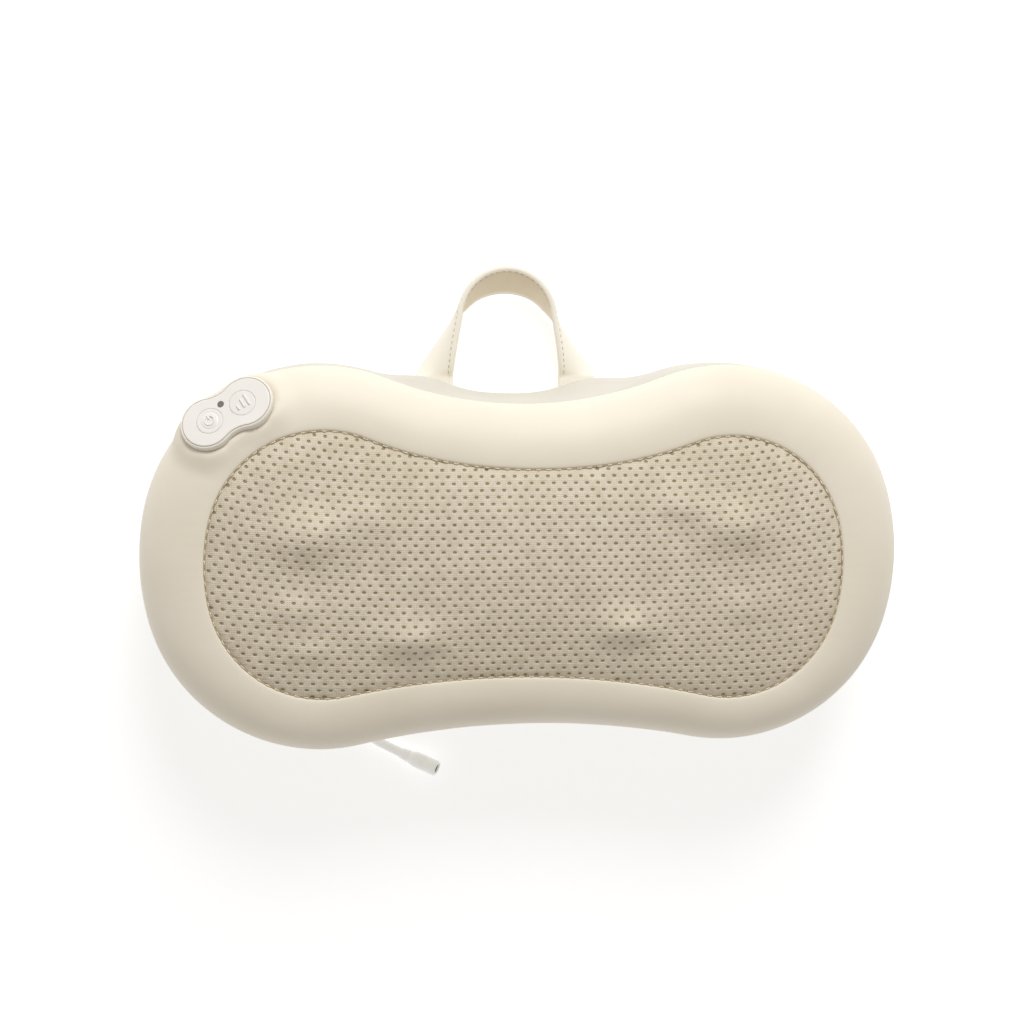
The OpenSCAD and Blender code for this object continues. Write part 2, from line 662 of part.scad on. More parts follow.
module board_components() color("#8a8d90") translate([0, 0, board_z + board_t]) {
    translate([-28, -50, 0]) cylinder(r = 5, h = 13);
    translate([-15, -53, 0]) cube([15, 11, 9]);
    translate([5, -54, 0]) cube([10, 10, 2]);
    for (x = [-34, -22, 12, 24]) translate([x, -37.5, 0]) cube([9, 5, 6]);
    translate([24, -52, 0]) cylinder(r = 3.2, h = 9);
}

// control pad

module peanut(r) {
    // two lobes joined by hollow flanks; r is the radius of each lobe
    flank_r = pad_fillet + pad_lobe_r - r;
    flank_y = pad_waist + pad_fillet;
    f = r / (pad_lobe_r + pad_fillet);
    difference() {
        union() {
            for (s = [-1, 1]) translate([s * pad_lobe_x, 0]) circle(r);
            square([2 * pad_lobe_x * (1 - f), 2 * flank_y * f], center = true);
        }
        for (s = [-1, 1]) translate([0, s * flank_y]) circle(flank_r);
    }
}

module pad_base() color("#ece9e3") in_pad() difference() {
    translate([0, 0, -pad_depth]) linear_extrude(pad_depth - cover_t - 0.1) peanut(pad_lobe_r);
    translate([0, 0, -pad_depth + 1.2]) linear_extrude(pad_depth) peanut(pad_lobe_r - 1.3);
    translate([0, 0, -pad_depth - 1]) cylinder(r = 2.5, h = 3);
}

module pad_cover() color("#f1efec") in_pad() difference() {
    translate([0, 0, -cover_t]) linear_extrude(cover_t) peanut(pad_lobe_r - 0.7);
    translate([0, 0, -cover_t - 1]) linear_extrude(cover_t - 0.4) peanut(pad_lobe_r - 2);
    for (s = [-1, 1]) translate([s * button_x, 0, -5]) cylinder(r = button_r + 0.08, h = 10);
    translate([led_at[0], led_at[1], -5]) cylinder(r = led_r, h = 10);
}

// a cap on a stem that stands clear of its switch by the travel
module button(x) in_pad() translate([x, 0, 0]) {
    stem = board_top + switch_h + 0.1 + button_travel;
    translate([0, 0, -2.2]) cylinder(r = button_r, h = 2.2 + button_top);
    translate([0, 0, stem]) cylinder(r = 1.8, h = -2 - stem);
}
module power_button() color("#f3f1ee") {
    button(-button_x);
    in_pad() translate([-button_x, 0, 0.1]) {
        linear_extrude(0.4) difference() {
            circle(3.1);
            circle(2.4);
            translate([-1.2, 0]) square([2.4, 5]);
        }
        translate([-0.35, 0.6, 0]) cube([0.7, 3, 0.4]);
    }
}
module level_button() color("#f3f1ee") {
    button(button_x);
    in_pad() for (k = [-1 : 1]) translate([button_x + 2.1 * k, 0.5 * k, 0.1]) rotate(-15)
        translate([-0.4, -1.8 - 0.7 * k, 0]) cube([0.8, 3.6 + 1.4 * k, 0.4]);
}

module pad_board() color("#2f6b45") in_pad() difference() {
    union() {
        translate([0, 0, board_top - 1.2]) linear_extrude(1.2) peanut(pad_lobe_r - 1.5);
        for (s = [-1, 1]) translate([s * button_x, 0, board_top - 0.1])
            cylinder(r = 2.2, h = switch_h + 0.1);
    }
    translate([0, 0, -8]) cylinder(r = 2.5, h = 3);
}

module indicator_lens() color("#5b5a58") in_pad() translate([led_at[0], led_at[1], board_top])
    cylinder(r = led_r - 0.05, h = -board_top - 0.4);

// leads inside

module pad_cable() color("#e8e6e0") {
    normal = [-sin(pad_turn) * sin(pad_tilt), cos(pad_turn) * sin(pad_tilt), cos(pad_tilt)];
    tube(concat([for (w = [6.5, 14, 22, 30, 38, 46, 52]) pad_at - w * normal], [
        [-123, 44, 25], [-106, 39, 17], [-80, 34, 13], [-54, 22, 12.6], [-38, 0, 12.6], [-28, -18, 13.2],
        [-20, -26, 13.8], [-17.6, -29, 14], [-17.6, -32.4, 14]
    ]), 1.6);
}

module motor_leads() color("#b8322a") tube([
    [17, -32.4, 14], [17, -26, 13], [17, -10, 12], [17, 8, 11.4], [18.6, 24, 11.4], [19, 40, 12],
    [17.6, 50, 16], [12.6, 53.2, 23], [8, 53.4, 27]
], 1);

module supply_lead() color("#e8e6e0") {
    dir = unit(cord_route[0] - cord_route[1]);
    tube([
        cord_exit + 5 * dir, cord_exit + 16 * dir, cord_exit + 26 * dir + [0, 0, 0.4],
        cord_exit + 34 * dir + [0, 0, 1.3], cord_exit + 41 * dir + [0, 0, 3.6],
        [-122, -56, 12], [-109, -50, 13], [-90, -47.5, 13.5], [-66, -44, 14], [-45, -37, 14.3],
        [-39.5, -35, 14.4], [-34.4, -35, 14.4]
    ], 1.8);
}

// supply cord

module cord_grommet() color("#e4e2dc") {
    turn = atan2(cord_route[1][1] - cord_exit[1], cord_route[1][0] - cord_exit[0]);
    translate(cord_exit) rotate([0, 0, turn]) rotate([0, 90, 0]) translate([0, 0, -5]) difference() {
        cylinder(r = 4.2, h = 5);
        translate([0, 0, -1]) cylinder(r = 2, h = 8);
    }
}

module dc_cord() color("#e8e7e3") tube(cord_route, cord_r, 10);

module in_socket() translate(cord_route[len(cord_route) - 1]) rotate([0, 0, socket_dir]) rotate([0, 90, 0])
    children();
module dc_socket_shell() color("#ececea") in_socket() difference() {
    union() {
        cylinder(r1 = 3.2, r2 = socket_r, h = 5);
        translate([0, 0, 5]) cylinder(r = socket_r, h = socket_l - 5);
    }
    translate([0, 0, socket_l - 10]) cylinder(r = 2.9, h = 11);
}
module dc_socket_contacts() color("#c9b273") in_socket() translate([0, 0, socket_l - 10]) {
    cylinder(r = 1.05, h = 9);
    difference() {
        cylinder(r = 2.9, h = 8);
        translate([0, 0, 1]) cylinder(r = 2.75, h = 9);
    }
}

back_panel();
zip_tapes();
zip_slider();
side_gusset();
front_border();
front_mesh_panel();
inner_lining();
foam_surround();
handle_tabs();
carry_handle();
rear_housing();
front_housing();
housing_screws();
motor_can();
motor_end_cap();
motor_bracket();
motor_armature();
drive_shaft();
worm();
worm_bush();
thermal_cutout();
left_reduction_axle();
right_reduction_axle();
left_reduction_gear();
right_reduction_gear();
left_rotor_bush();
right_rotor_bush();
left_output_gear();
right_output_gear();
left_massage_carrier();
right_massage_carrier();
left_head_posts();
right_head_posts();
left_big_head_1();
left_big_head_2();
left_small_head_1();
left_small_head_2();
right_big_head_1();
right_big_head_2();
right_small_head_1();
right_small_head_2();
left_lamp_board();
right_lamp_board();
left_lamp_dome();
right_lamp_dome();
main_board();
board_components();
pad_base();
pad_cover();
power_button();
level_button();
pad_board();
indicator_lens();
pad_cable();
motor_leads();
supply_lead();
cord_grommet();
dc_cord();
dc_socket_shell();
dc_socket_contacts();
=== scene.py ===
"""Looks of the shiatsu neck massager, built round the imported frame.

Pieces are drawn in millimetres and scaled by MM.
"""
import math

import bpy
import numpy as np
from mathutils import Matrix, Vector, geometry, noise


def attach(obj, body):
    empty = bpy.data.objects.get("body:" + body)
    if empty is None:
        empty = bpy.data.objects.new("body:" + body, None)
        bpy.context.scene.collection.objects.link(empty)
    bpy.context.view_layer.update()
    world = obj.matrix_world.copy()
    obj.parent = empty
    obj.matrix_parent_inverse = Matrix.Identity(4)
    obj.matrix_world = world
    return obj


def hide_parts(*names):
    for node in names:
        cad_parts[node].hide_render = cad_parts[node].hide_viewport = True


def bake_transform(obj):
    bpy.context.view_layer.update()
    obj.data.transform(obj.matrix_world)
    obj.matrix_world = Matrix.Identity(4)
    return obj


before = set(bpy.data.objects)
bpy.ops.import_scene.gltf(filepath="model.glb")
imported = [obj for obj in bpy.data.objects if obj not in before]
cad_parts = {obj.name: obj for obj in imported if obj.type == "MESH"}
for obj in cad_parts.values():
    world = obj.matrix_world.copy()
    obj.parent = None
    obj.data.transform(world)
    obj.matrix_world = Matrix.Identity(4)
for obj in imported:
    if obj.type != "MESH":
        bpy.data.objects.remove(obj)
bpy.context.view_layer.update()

MM = 0.001
scene = bpy.context.scene
scene.view_settings.view_transform = "Standard"

# ---------------------------------------------------------------- camera

AIM = Vector((0, 0, 0.045))
AWAY = 0.9
LEAN_X, LEAN_Y = -0.1172, 0.1264
AXIS = Vector((math.tan(LEAN_X), math.tan(LEAN_Y), 1)).normalized()
side = Vector((0, 1, 0)).cross(AXIS).normalized()
up = AXIS.cross(side)
camera = bpy.data.objects.new("camera", bpy.data.cameras.new("camera"))
camera.data.sensor_width = 36
camera.data.lens = 62.33
camera.data.shift_x = -0.0100
camera.data.shift_y = 0.0404
turned = Matrix((side, up, AXIS)).transposed().to_4x4()
camera.matrix_world = Matrix.Translation(AIM + AWAY * AXIS) @ turned
scene.collection.objects.link(camera)
scene.camera = camera

# ---------------------------------------------------------------- materials


class Paint:
    """A Principled material with procedural colour, roughness and bump."""

    def __init__(self, name, rough, **sockets):
        self.mat = bpy.data.materials.new(name)
        self.mat.use_nodes = True
        self.nodes, self.links = self.mat.node_tree.nodes, self.mat.node_tree.links
        self.bsdf = self.nodes["Principled BSDF"]
        self.bsdf.inputs["Roughness"].default_value = rough
        for key, value in sockets.items():
            self.bsdf.inputs[key.replace("_", " ")].default_value = value
        self.place = self.nodes.new("ShaderNodeTexCoord").outputs["Object"]
        self.height = None

    def node(self, kind, **values):
        n = self.nodes.new("ShaderNode" + kind)
        for key, value in values.items():
            if key in n.inputs:
                n.inputs[key].default_value = value
            else:
                setattr(n, key, value)
        return n

    def stretch(self, scale):
        n = self.node("Mapping", Scale=scale)
        self.links.new(self.place, n.inputs["Vector"])
        return n.outputs["Vector"]

    def noise(self, scale, detail=3.0, where=None):
        n = self.node("TexNoise", Scale=scale, Detail=detail)
        self.links.new(where or self.place, n.inputs["Vector"])
        return n.outputs["Fac"]

    def cells(self, scale):
        n = self.node("TexVoronoi", Scale=scale)
        self.links.new(self.place, n.inputs["Vector"])
        return n.outputs["Distance"]

    def wave(self, scale, direction, wobble):
        n = self.node("TexWave", Scale=scale, bands_direction=direction, wave_profile="SIN")
        n.inputs["Distortion"].default_value = wobble
        self.links.new(self.place, n.inputs["Vector"])
        return n.outputs["Fac"]

    def math(self, operation, a, b):
        n = self.node("Math", operation=operation)
        for socket, value in zip(n.inputs, (a, b)):
            if isinstance(value, (int, float)):
                socket.default_value = value
            else:
                self.links.new(value, socket)
        return n.outputs[0]

    def ramp(self, fac, stops):
        n = self.node("ValToRGB")
        while len(n.color_ramp.elements) < len(stops):
            n.color_ramp.elements.new(0.5)
        for element, (at, rgb) in zip(n.color_ramp.elements, stops):
            element.position, element.color = at, (*rgb, 1)
        self.links.new(fac, n.inputs["Fac"])
        return n.outputs["Color"]

    def colour(self, fac, *stops):
        self.links.new(self.ramp(fac, stops), self.bsdf.inputs["Base Color"])
        return self

    def rough(self, fac, low, high):
        n = self.node("MapRange")
        n.inputs["To Min"].default_value, n.inputs["To Max"].default_value = low, high
        self.links.new(fac, n.inputs["Value"])
        self.links.new(n.outputs["Result"], self.bsdf.inputs["Roughness"])
        return self

    def bump(self, fac, depth, strength=1.0):
        n = self.node("Bump", Distance=depth * MM, Strength=strength)
        self.links.new(fac, n.inputs["Height"])
        if self.height is not None:
            self.links.new(self.height, n.inputs["Normal"])
        self.height = n.outputs["Normal"]
        self.links.new(self.height, self.bsdf.inputs["Normal"])
        return self


def tone(hexed):
    """An sRGB hex colour as linear light."""
    rgb = [int(hexed[i : i + 2], 16) / 255 for i in (0, 2, 4)]
    return tuple(c / 12.92 if c <= 0.04045 else ((c + 0.055) / 1.055) ** 2.4 for c in rgb)


def leatherette(name, light, dark):
    p = Paint(name, 0.5, Specular_IOR_Level=0.35, Sheen_Weight=0.08, Sheen_Roughness=0.5)
    p.colour(p.noise(14, 4), (0.3, tone(dark)), (0.7, tone(light)))
    p.rough(p.noise(60, 4), 0.46, 0.6)
    p.bump(p.noise(55, 3), 0.25, 0.5).bump(p.cells(1300), 0.05, 0.5)
    return p.mat


def weave(name, light, dark, pitch=0.55, depth=0.12, upright=False):
    p = Paint(name, 0.85, Specular_IOR_Level=0.2, Sheen_Weight=0.2, Sheen_Roughness=0.6)
    scale = math.pi / 10 / (pitch * MM)
    # on an upright face the knots are scattered, as a wave along it would show rings where the face turns
    across = p.cells(0.8 / (pitch * MM)) if upright else p.wave(scale, "Y", 0.6)
    threads = p.math("MULTIPLY", p.wave(scale, "Z" if upright else "X", 0.6), across)
    p.colour(p.math("ADD", p.math("MULTIPLY", threads, 0.3), p.math("MULTIPLY", p.noise(40, 4), 0.7)),
             (0.2, tone(dark)), (0.75, tone(light)))
    p.bump(p.noise(90, 3), 0.3, 0.4).bump(threads, depth, 0.8)
    return p.mat


def knit(name, light, dark):
    p = Paint(name, 0.9, Specular_IOR_Level=0.12, Sheen_Weight=0.08, Sheen_Roughness=0.5)
    across = p.wave(330, "Y", 1.5)
    along = p.wave(260, "X", 1.2)
    loops = p.math("MULTIPLY", across, along)
    shade = p.math("ADD", p.math("MULTIPLY", p.noise(160, 3), 0.6), p.math("MULTIPLY", p.noise(12, 2), 0.4))
    p.colour(shade, (0.32, tone(dark)), (0.66, tone(light)))
    p.bump(loops, 0.2, 0.8).bump(p.noise(900, 2), 0.1, 0.7)
    return p.mat


def plastic(name, light, dark, rough=0.35, grain=0.02, **sockets):
    p = Paint(name, rough, Specular_IOR_Level=0.5, **sockets)
    p.colour(p.noise(30, 3), (0.3, tone(dark)), (0.7, tone(light)))
    p.rough(p.noise(120, 4), rough - 0.05, rough + 0.07)
    p.bump(p.noise(2500, 2), grain, 0.5)
    return p.mat


def metal(name, light, dark, rough=0.3, axis="Z"):
    p = Paint(name, rough, Metallic=1.0)
    lines = p.noise(500, 3, p.stretch({"X": (0.04, 1, 1), "Y": (1, 0.04, 1), "Z": (1, 1, 0.04)}[axis]))
    p.colour(lines, (0.3, tone(dark)), (0.7, tone(light)))
    p.rough(lines, rough - 0.08, rough + 0.12)
    p.bump(lines, 0.02, 0.5)
    return p.mat


def foam_like(name, light, dark):
    p = Paint(name, 0.95, Specular_IOR_Level=0.1)
    pores = p.cells(700)
    p.colour(p.math("ADD", p.math("MULTIPLY", pores, 0.6), p.math("MULTIPLY", p.noise(20, 3), 0.4)),
             (0.1, tone(dark)), (0.6, tone(light)))
    p.bump(pores, 0.4, 0.8)
    return p.mat


def board(name, light, dark):
    p = Paint(name, 0.4)
    tracks = p.wave(60, "X", 6.0)
    p.colour(tracks, (0.45, tone(dark)), (0.55, tone(light)))
    p.bump(tracks, 0.04, 0.6)
    return p.mat


def thread(name, light, dark):
    p = Paint(name, 0.7, Sheen_Weight=0.3)
    twist = p.wave(420, "DIAGONAL", 0.5)
    p.colour(twist, (0.2, tone(dark)), (0.8, tone(light)))
    p.bump(twist, 0.06, 0.8)
    return p.mat


LEATHER = leatherette("cream_leatherette", "F2EADB", "ECE3D2")
# a lighter copy of the cover's leatherette: painted light on the strap's lit faces
STRAP_SKIN_LIT = leatherette("strap_leatherette_painted_light", "F9F4E9", "F3ECDF")
# a darker copy of the strap's leatherette: painted shade for the loop's inner face
STRAP_INNER_SHADE = leatherette("strap_inner_painted_shade", "EDE2CD", "E1D3BC")
GUSSET = weave("gusset_fabric", "E1DDD2", "D4CFC3", 0.6, 0.08, upright=True)
BACK = weave("back_fabric", "E3DBC9", "CFC6B2", 0.9, 0.2)
MESH = knit("mesh_knit", "E6DCC9", "D5CAB5")
BACKING = weave("spacer_backing", "BBAA86", "A08F6B", 0.8, 0.2)
TAPE = weave("zip_tape", "DDD5C2", "C9C0AC", 0.6, 0.15)
GROOVE_SHADE_CORD = thread("tan_groove_painted_shade", "BBA98A", "A08E70")
PALE_THREAD = thread("pale_thread", "D0C3A8", "B6A98C")
CREAM_THREAD = thread("cream_thread", "EADFC8", "D8CBAF")
GLOSS = plastic("gloss_white", "F6F2EE", "F1EDE8", 0.3, 0.004, Coat_Weight=0.15)
SATIN = plastic("satin_white", "F5F1ED", "EFEBE6", 0.34, 0.006)
SHELL = plastic("pad_shell_white", "F3EFE9", "ECE7DF", 0.36, 0.01)
# white cord plastic with a painted glow (emission) that lifts the cord out of the cushion's shadow; every CAD
# node without its own paint shares this glow
CORD_SKIN_GLOWING = plastic("cord_white_painted_glow", "F8F8F6", "F3F3F1", 0.45, 0.02, Emission_Color=(1, 0.99, 0.97, 1),
                    Emission_Strength=0.2)
LENS = plastic("smoked_lens", "8A857B", "736E65", 0.25, 0.002, Coat_Weight=0.2)
DARK = plastic("dark_moulding", "4A4A4C", "37373A", 0.5)

NODE_PAINT = {
    "foam": foam_like("foam_yellow", "EBDDAE", "D2C08A"),
    "housing": plastic("housing_grey", "DADAD6", "CDCDC8", 0.5, 0.03),
    "gear": plastic("gear_acetal", "EFEADC", "E2DCCB", 0.4, 0.015),
    "carrier": plastic("carrier_grey", "5C5F63", "4A4D51", 0.5, 0.03),
    "head": plastic("head_amber", "E6A964", "D3904A", 0.38, 0.02, Subsurface_Weight=0.05),
    "steel": metal("turned_steel", "D6DADE", "B4B9BE", 0.25),
    "can": metal("motor_plating", "C9CCCF", "A9ADB1", 0.32),
    "copper": metal("copper_winding", "C07A48", "8E5028", 0.4, "Y"),
    "bronze": metal("oiled_bronze", "BC9854", "94733A", 0.35),
    "contact": metal("contact_metal", "CDB579", "A88F55", 0.25, "X"),
    "board": board("circuit_board", "3B7D54", "28593B"),
    "parts": plastic("component_body", "8F9295", "6E7174", 0.45),
    "lamp": plastic("lamp_red", "CF4A36", "B3392A", 0.2, 0.004, Transmission_Weight=0.3),
    "red": plastic("lead_red", "BE3A30", "9F2C25", 0.45),
    "white": CORD_SKIN_GLOWING,
    "dark": DARK,
    "lens": LENS,
    "grommet": plastic("grommet_white", "E6E4DF", "D8D6D0", 0.5, 0.02),
}
# the first entry whose words are in a node's name says its paint
KEYS = [
    ("foam_surround", "foam"), ("housing_screws", "steel"), ("housing", "housing"), ("motor_can", "can"),
    ("motor_end_cap", "dark"), ("motor_bracket", "can"), ("motor_armature", "copper"), ("shaft", "steel"),
    ("bush", "bronze"), ("worm", "gear"), ("thermal", "dark"), ("axle", "steel"), ("gear", "gear"),
    ("carrier", "carrier"), ("posts", "steel"), ("_head_", "head"), ("lamp_board", "board"),
    ("lamp_dome", "lamp"), ("main_board", "board"), ("board_components", "parts"), ("pad_board", "board"),
    ("indicator", "lens"), ("motor_leads", "red"), ("contacts", "contact"), ("grommet", "grommet"),
    ("", "white"),
]
for name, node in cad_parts.items():
    key = next(value for part, value in KEYS if part in name)
    node.data.materials.clear()
    node.data.materials.append(NODE_PAINT[key])

# ---------------------------------------------------------------- mesh helpers


def add(name, points, faces, paint, body, smooth=True, slot=None):
    """A mesh piece from points in millimetres that rides on a CAD body, or on none yet."""
    data = bpy.data.meshes.new(name)
    data.from_pydata((np.asarray(points, float) * MM).tolist(), [], [list(map(int, f)) for f in faces])
    data.validate()
    data.materials.append(paint)
    if smooth:
        data.shade_smooth()
    piece = bpy.data.objects.new(name, data)
    scene.collection.objects.link(piece)
    if body:
        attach(piece, body)
    return piece


def loft(rings, wrap=False):
    """Quads through rings of equal size; wrap joins the last ring to the first."""
    k = len(rings[0])
    faces = []
    for j in range(len(rings) if wrap else len(rings) - 1):
        a, b = j * k, (j + 1) % len(rings) * k
        faces += [(a + i, a + (i + 1) % k, b + (i + 1) % k, b + i) for i in range(k)]
    return np.vstack(rings), faces


def closed_loft(rings):
    """A loft with a flat face over its first ring and over its last."""
    points, faces = loft(rings)
    k, total = len(rings[0]), len(points)
    return points, faces + [tuple(range(k - 1, -1, -1)), tuple(range(total - k, total))]


def turned_back(faces):
    """The faces seen from their other side."""
    return [tuple(reversed(f)) for f in faces]


def merge(parts):
    """Several (points, faces) as one."""
    points, faces, start = [], [], 0
    for p, f in parts:
        points.append(np.asarray(p, float))
        faces += [tuple(start + i for i in face) for face in f]
        start += len(p)
    return np.vstack(points), faces


def cap(rings, flip=False):
    """Triangles that fill the first ring, less the others, all near one plane."""
    flat = [Vector(p[:2]) for ring in rings for p in ring]
    edges, start = [], 0
    for ring in rings:
        edges += [(start + i, start + (i + 1) % len(ring)) for i in range(len(ring))]
        start += len(ring)
    out = geometry.delaunay_2d_cdt(flat, edges, [], 1 if len(rings) == 1 else 2, 1e-6)
    where = [o[0] for o in out[3]]
    inner = [np.asarray(r)[:, :2] for r in rings[1:]]
    faces = []
    for f in out[2]:
        mid = sum((np.array(out[0][i]) for i in f), np.zeros(2)) / 3
        if any(inside(mid, r) for r in inner):
            continue
        f = [where[i] for i in f]
        faces.append(tuple(f[::-1]) if flip else tuple(f))
    return faces


def inside(p, ring):
    """Whether a flat point lies within a ring."""
    x, y = ring[:, 0], ring[:, 1]
    x2, y2 = np.roll(x, -1), np.roll(y, -1)
    cross = (y > p[1]) != (y2 > p[1])
    at = (x2 - x) * (p[1] - y) / np.where(y2 == y, 1e-12, y2 - y) + x
    return bool((cross & (p[0] < at)).sum() % 2)


def solid(outer, holes=()):
    """A plate: outer rings from its lower to its upper face, and holes' rings from the upper to the lower."""
    parts = [loft(outer)] + [loft(h) for h in holes]
    points, faces = merge(parts)
    starts = np.cumsum([0] + [len(p[0]) for p in parts])
    for upper in (True, False):
        rings = [outer[-1] if upper else outer[0]] + [h[0] if upper else h[-1] for h in holes]
        index = []
        for i, ring in enumerate(rings):
            total = starts[i + 1] - starts[i]
            last = upper if i == 0 else not upper
            first = starts[i] + (total - len(ring) if last else 0)
            index += list(range(first, first + len(ring)))
        faces += [tuple(index[i] for i in f) for f in cap(rings, not upper)]
    return points, faces


def smooth_line(points, count):
    """Points evenly spread along a smooth curve through the given ones."""
    p = np.asarray(points, float)
    q = np.vstack([2 * p[0] - p[1], p, 2 * p[-1] - p[-2]])
    out = []
    for i in range(1, len(q) - 2):
        a, b, c, d = q[i - 1 : i + 3]
        for t in np.linspace(0, 1, 12, endpoint=False):
            curve = 2 * b + (c - a) * t + (2 * a - 5 * b + 4 * c - d) * t**2 + (3 * b - a - 3 * c + d) * t**3
            out.append(0.5 * curve)
    return resample(np.array(out + [p[-1]]), count)


def resample(line, count, loop=False):
    """The given number of points, evenly spread along a line or round a loop."""
    if loop:
        line = np.vstack([line, line[:1]])
    along = np.r_[0, np.cumsum(np.linalg.norm(np.diff(line, axis=0), axis=1))]
    at = np.linspace(0, along[-1], count + 1)[:-1] if loop else np.linspace(0, along[-1], count)
    return np.stack([np.interp(at, along, line[:, k]) for k in range(line.shape[1])], 1)


def unit(v):
    return v / np.maximum(np.linalg.norm(v, axis=-1, keepdims=True), 1e-12)


def at_height(flat, z):
    return np.column_stack([flat, np.full(len(flat), float(z))])


def thicken(piece, by):
    """Gives an open cover its fabric's thickness, inwards."""
    modifier = piece.modifiers.new("thickness", "SOLIDIFY")
    modifier.thickness, modifier.offset = by * MM, -1


def soften(piece):
    modifier = piece.modifiers.new("round", "SUBSURF")
    modifier.levels = modifier.render_levels = 1


def stitches(name, line, normals, pitch, length, radius, paint, body, slot):
    """A row of sewn stitches: each an arched bead that dips into the surface at both ends."""
    closed = np.linalg.norm(line[0] - line[-1]) < 3 * pitch
    total = np.linalg.norm(np.diff(line, axis=0), axis=1).sum()
    count = int(total / pitch)
    at = resample(np.hstack([line, normals]), count, closed)
    step = np.roll(at[:, :3], -1, 0) - np.roll(at[:, :3], 1, 0) if closed else np.gradient(at[:, :3], axis=0)
    parts = []
    for p, n, t in zip(at[:, :3], unit(at[:, 3:]), unit(step)):
        b = np.cross(n, t)
        rings = []
        for u in np.linspace(-1, 1, 7):
            r = radius * math.sqrt(max(0.02, 1 - u**4))
            mid = p + t * length / 2 * u + n * radius * (0.75 - 1.5 * u * u)
            rings.append([mid + r * (math.cos(a) * b + math.sin(a) * n) for a in np.arange(6) * math.pi / 3])
        q, f = closed_loft([np.array(r) for r in rings])
        parts.append((q, turned_back(f)))
    return add(name, *merge(parts), paint, body, slot=slot)


def noise_at(points, scale, seed):
    """Smooth noise from -1 to 1 at each point."""
    shift = Vector((seed, seed * 1.7, -seed))
    return np.array([noise.noise(Vector(p) * scale + shift) for p in points])


# ---------------------------------------------------------------- supply cord and its socket

CORD_ROUTE = [
    (-0.092, -0.091, 0.006), (-0.0895, -0.0929, 0.006), (-0.087, -0.0948, 0.0059), (-0.0845, -0.0966, 0.0058),
    (-0.082, -0.0984, 0.0057), (-0.0795, -0.1001, 0.0056), (-0.077, -0.1018, 0.0054),
    (-0.0745, -0.1034, 0.0052), (-0.072, -0.105, 0.005), (-0.0695, -0.1065, 0.0048),
    (-0.067, -0.1079, 0.0046), (-0.0645, -0.1093, 0.0044), (-0.062, -0.1106, 0.0044),
    (-0.06, -0.1116, 0.0045), (-0.0585, -0.1123, 0.0047), (-0.057, -0.113, 0.005),
]
CORD_R = 2.5
SOCKET_TURN, SOCKET_RISE = math.radians(-21), math.radians(24)


def tube(line, radii, sides=24):
    """A round tube along a line, with flat ends."""
    t = unit(np.gradient(line, axis=0))
    b = unit(np.cross(t, [0.02, 0.03, 1.0]))
    n = np.cross(b, t)
    turn = np.arange(sides) * 2 * math.pi / sides
    rings = [p + r * (np.cos(turn)[:, None] * bb + np.sin(turn)[:, None] * nn)
             for p, r, bb, nn in zip(line, np.broadcast_to(radii, len(line)), b, n)]
    return closed_loft(rings)


cord_line = smooth_line(np.array(CORD_ROUTE) / MM, 60)
cord = add("supply_cord", *tube(cord_line, CORD_R), CORD_SKIN_GLOWING, "cushion", slot="cable_white")


def lathe(profile, origin, axis, sides=48):
    """A turned shape: profile is (distance along the axis, radius), from one pole round to the other."""
    a = unit(np.array(axis, float))
    b = unit(np.cross(a, [0.02, 0.03, 1.0]))
    c = np.cross(b, a)
    turn = np.arange(sides) * 2 * math.pi / sides
    ring = np.cos(turn)[:, None] * b + np.sin(turn)[:, None] * c
    return closed_loft([np.array(origin) + h * a + max(r, 0.001) * ring for h, r in profile])


socket_axis = (math.cos(SOCKET_TURN) * math.cos(SOCKET_RISE), math.sin(SOCKET_TURN) * math.cos(SOCKET_RISE),
               math.sin(SOCKET_RISE))
profile = [(-4.0, 2.7), (-3.9, 2.85)]
for k in range(4):
    at = -3.4 + 1.3 * k
    profile += [(at, 3.0 + 0.12 * k), (at + 0.5, 3.02 + 0.12 * k), (at + 0.65, 2.8 + 0.12 * k),
                (at + 1.1, 2.82 + 0.12 * k)]
profile += [(2.2, 3.45), (3.4, 3.85), (4.6, 4.1), (5.6, 4.2), (10.8, 4.2), (11.0, 4.08), (11.3, 4.08),
            (11.5, 4.2), (17.2, 4.2), (17.7, 4.08), (18.0, 3.75), (18.0, 3.2), (17.8, 2.95), (17.4, 2.9),
            (8.2, 2.9), (8.0, 0.05)]
socket_at = np.array(CORD_ROUTE[-1]) / MM
# a dark sleeve inside the socket's bore: painted shade that darkens the deep hole
bore = [(8.05, 0.0), (8.05, 2.85), (17.0, 2.85), (17.0, 2.55), (8.6, 2.55), (8.5, 0.0)]
bore_shade = add("socket_bore_painted_shade", *lathe(bore, socket_at, socket_axis), DARK, "cushion",
                  slot="socket_plastic")
pin = [(8.2, 0.0), (8.2, 0.9), (15.2, 0.9), (16.0, 0.6), (16.2, 0.0)]
socket_pin = add("socket_pin", *lathe(pin, socket_at, socket_axis), NODE_PAINT["contact"], "cushion",
                 slot="contact_metal")
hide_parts("dc_socket_contacts")
socket = add("barrel_socket", *lathe(profile, socket_at, socket_axis), CORD_SKIN_GLOWING, "cushion",
             slot="socket_plastic")
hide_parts("dc_cord")
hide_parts("dc_socket_shell")

# ---------------------------------------------------------------- outline of the cushion

BODY_L, BODY_W, END_R, LOBE_R = 380, 191.2, 126, 87.8
WAIST_FRONT, WAIST_REAR, WAIST_LOW = 19.1, 15.6, 10.6
SEAM_Z, WINDOW_Z, BORDER_W, REAR_Z = 54, 82, 31, 12
END_X = BODY_L / 2 - END_R
LOBE_Y = BODY_W / 2 - LOBE_R
LOBE_X = END_X + math.sqrt((END_R - LOBE_R) ** 2 - LOBE_Y**2)
FINE = 4  # points on the outline for each one in the CAD
HANDLE = np.array([-4.5, 89.0, 10.0])


def arc(centre, r, turns):
    return np.stack([centre[0] + r * np.cos(turns), centre[1] + r * np.sin(turns)], 1)


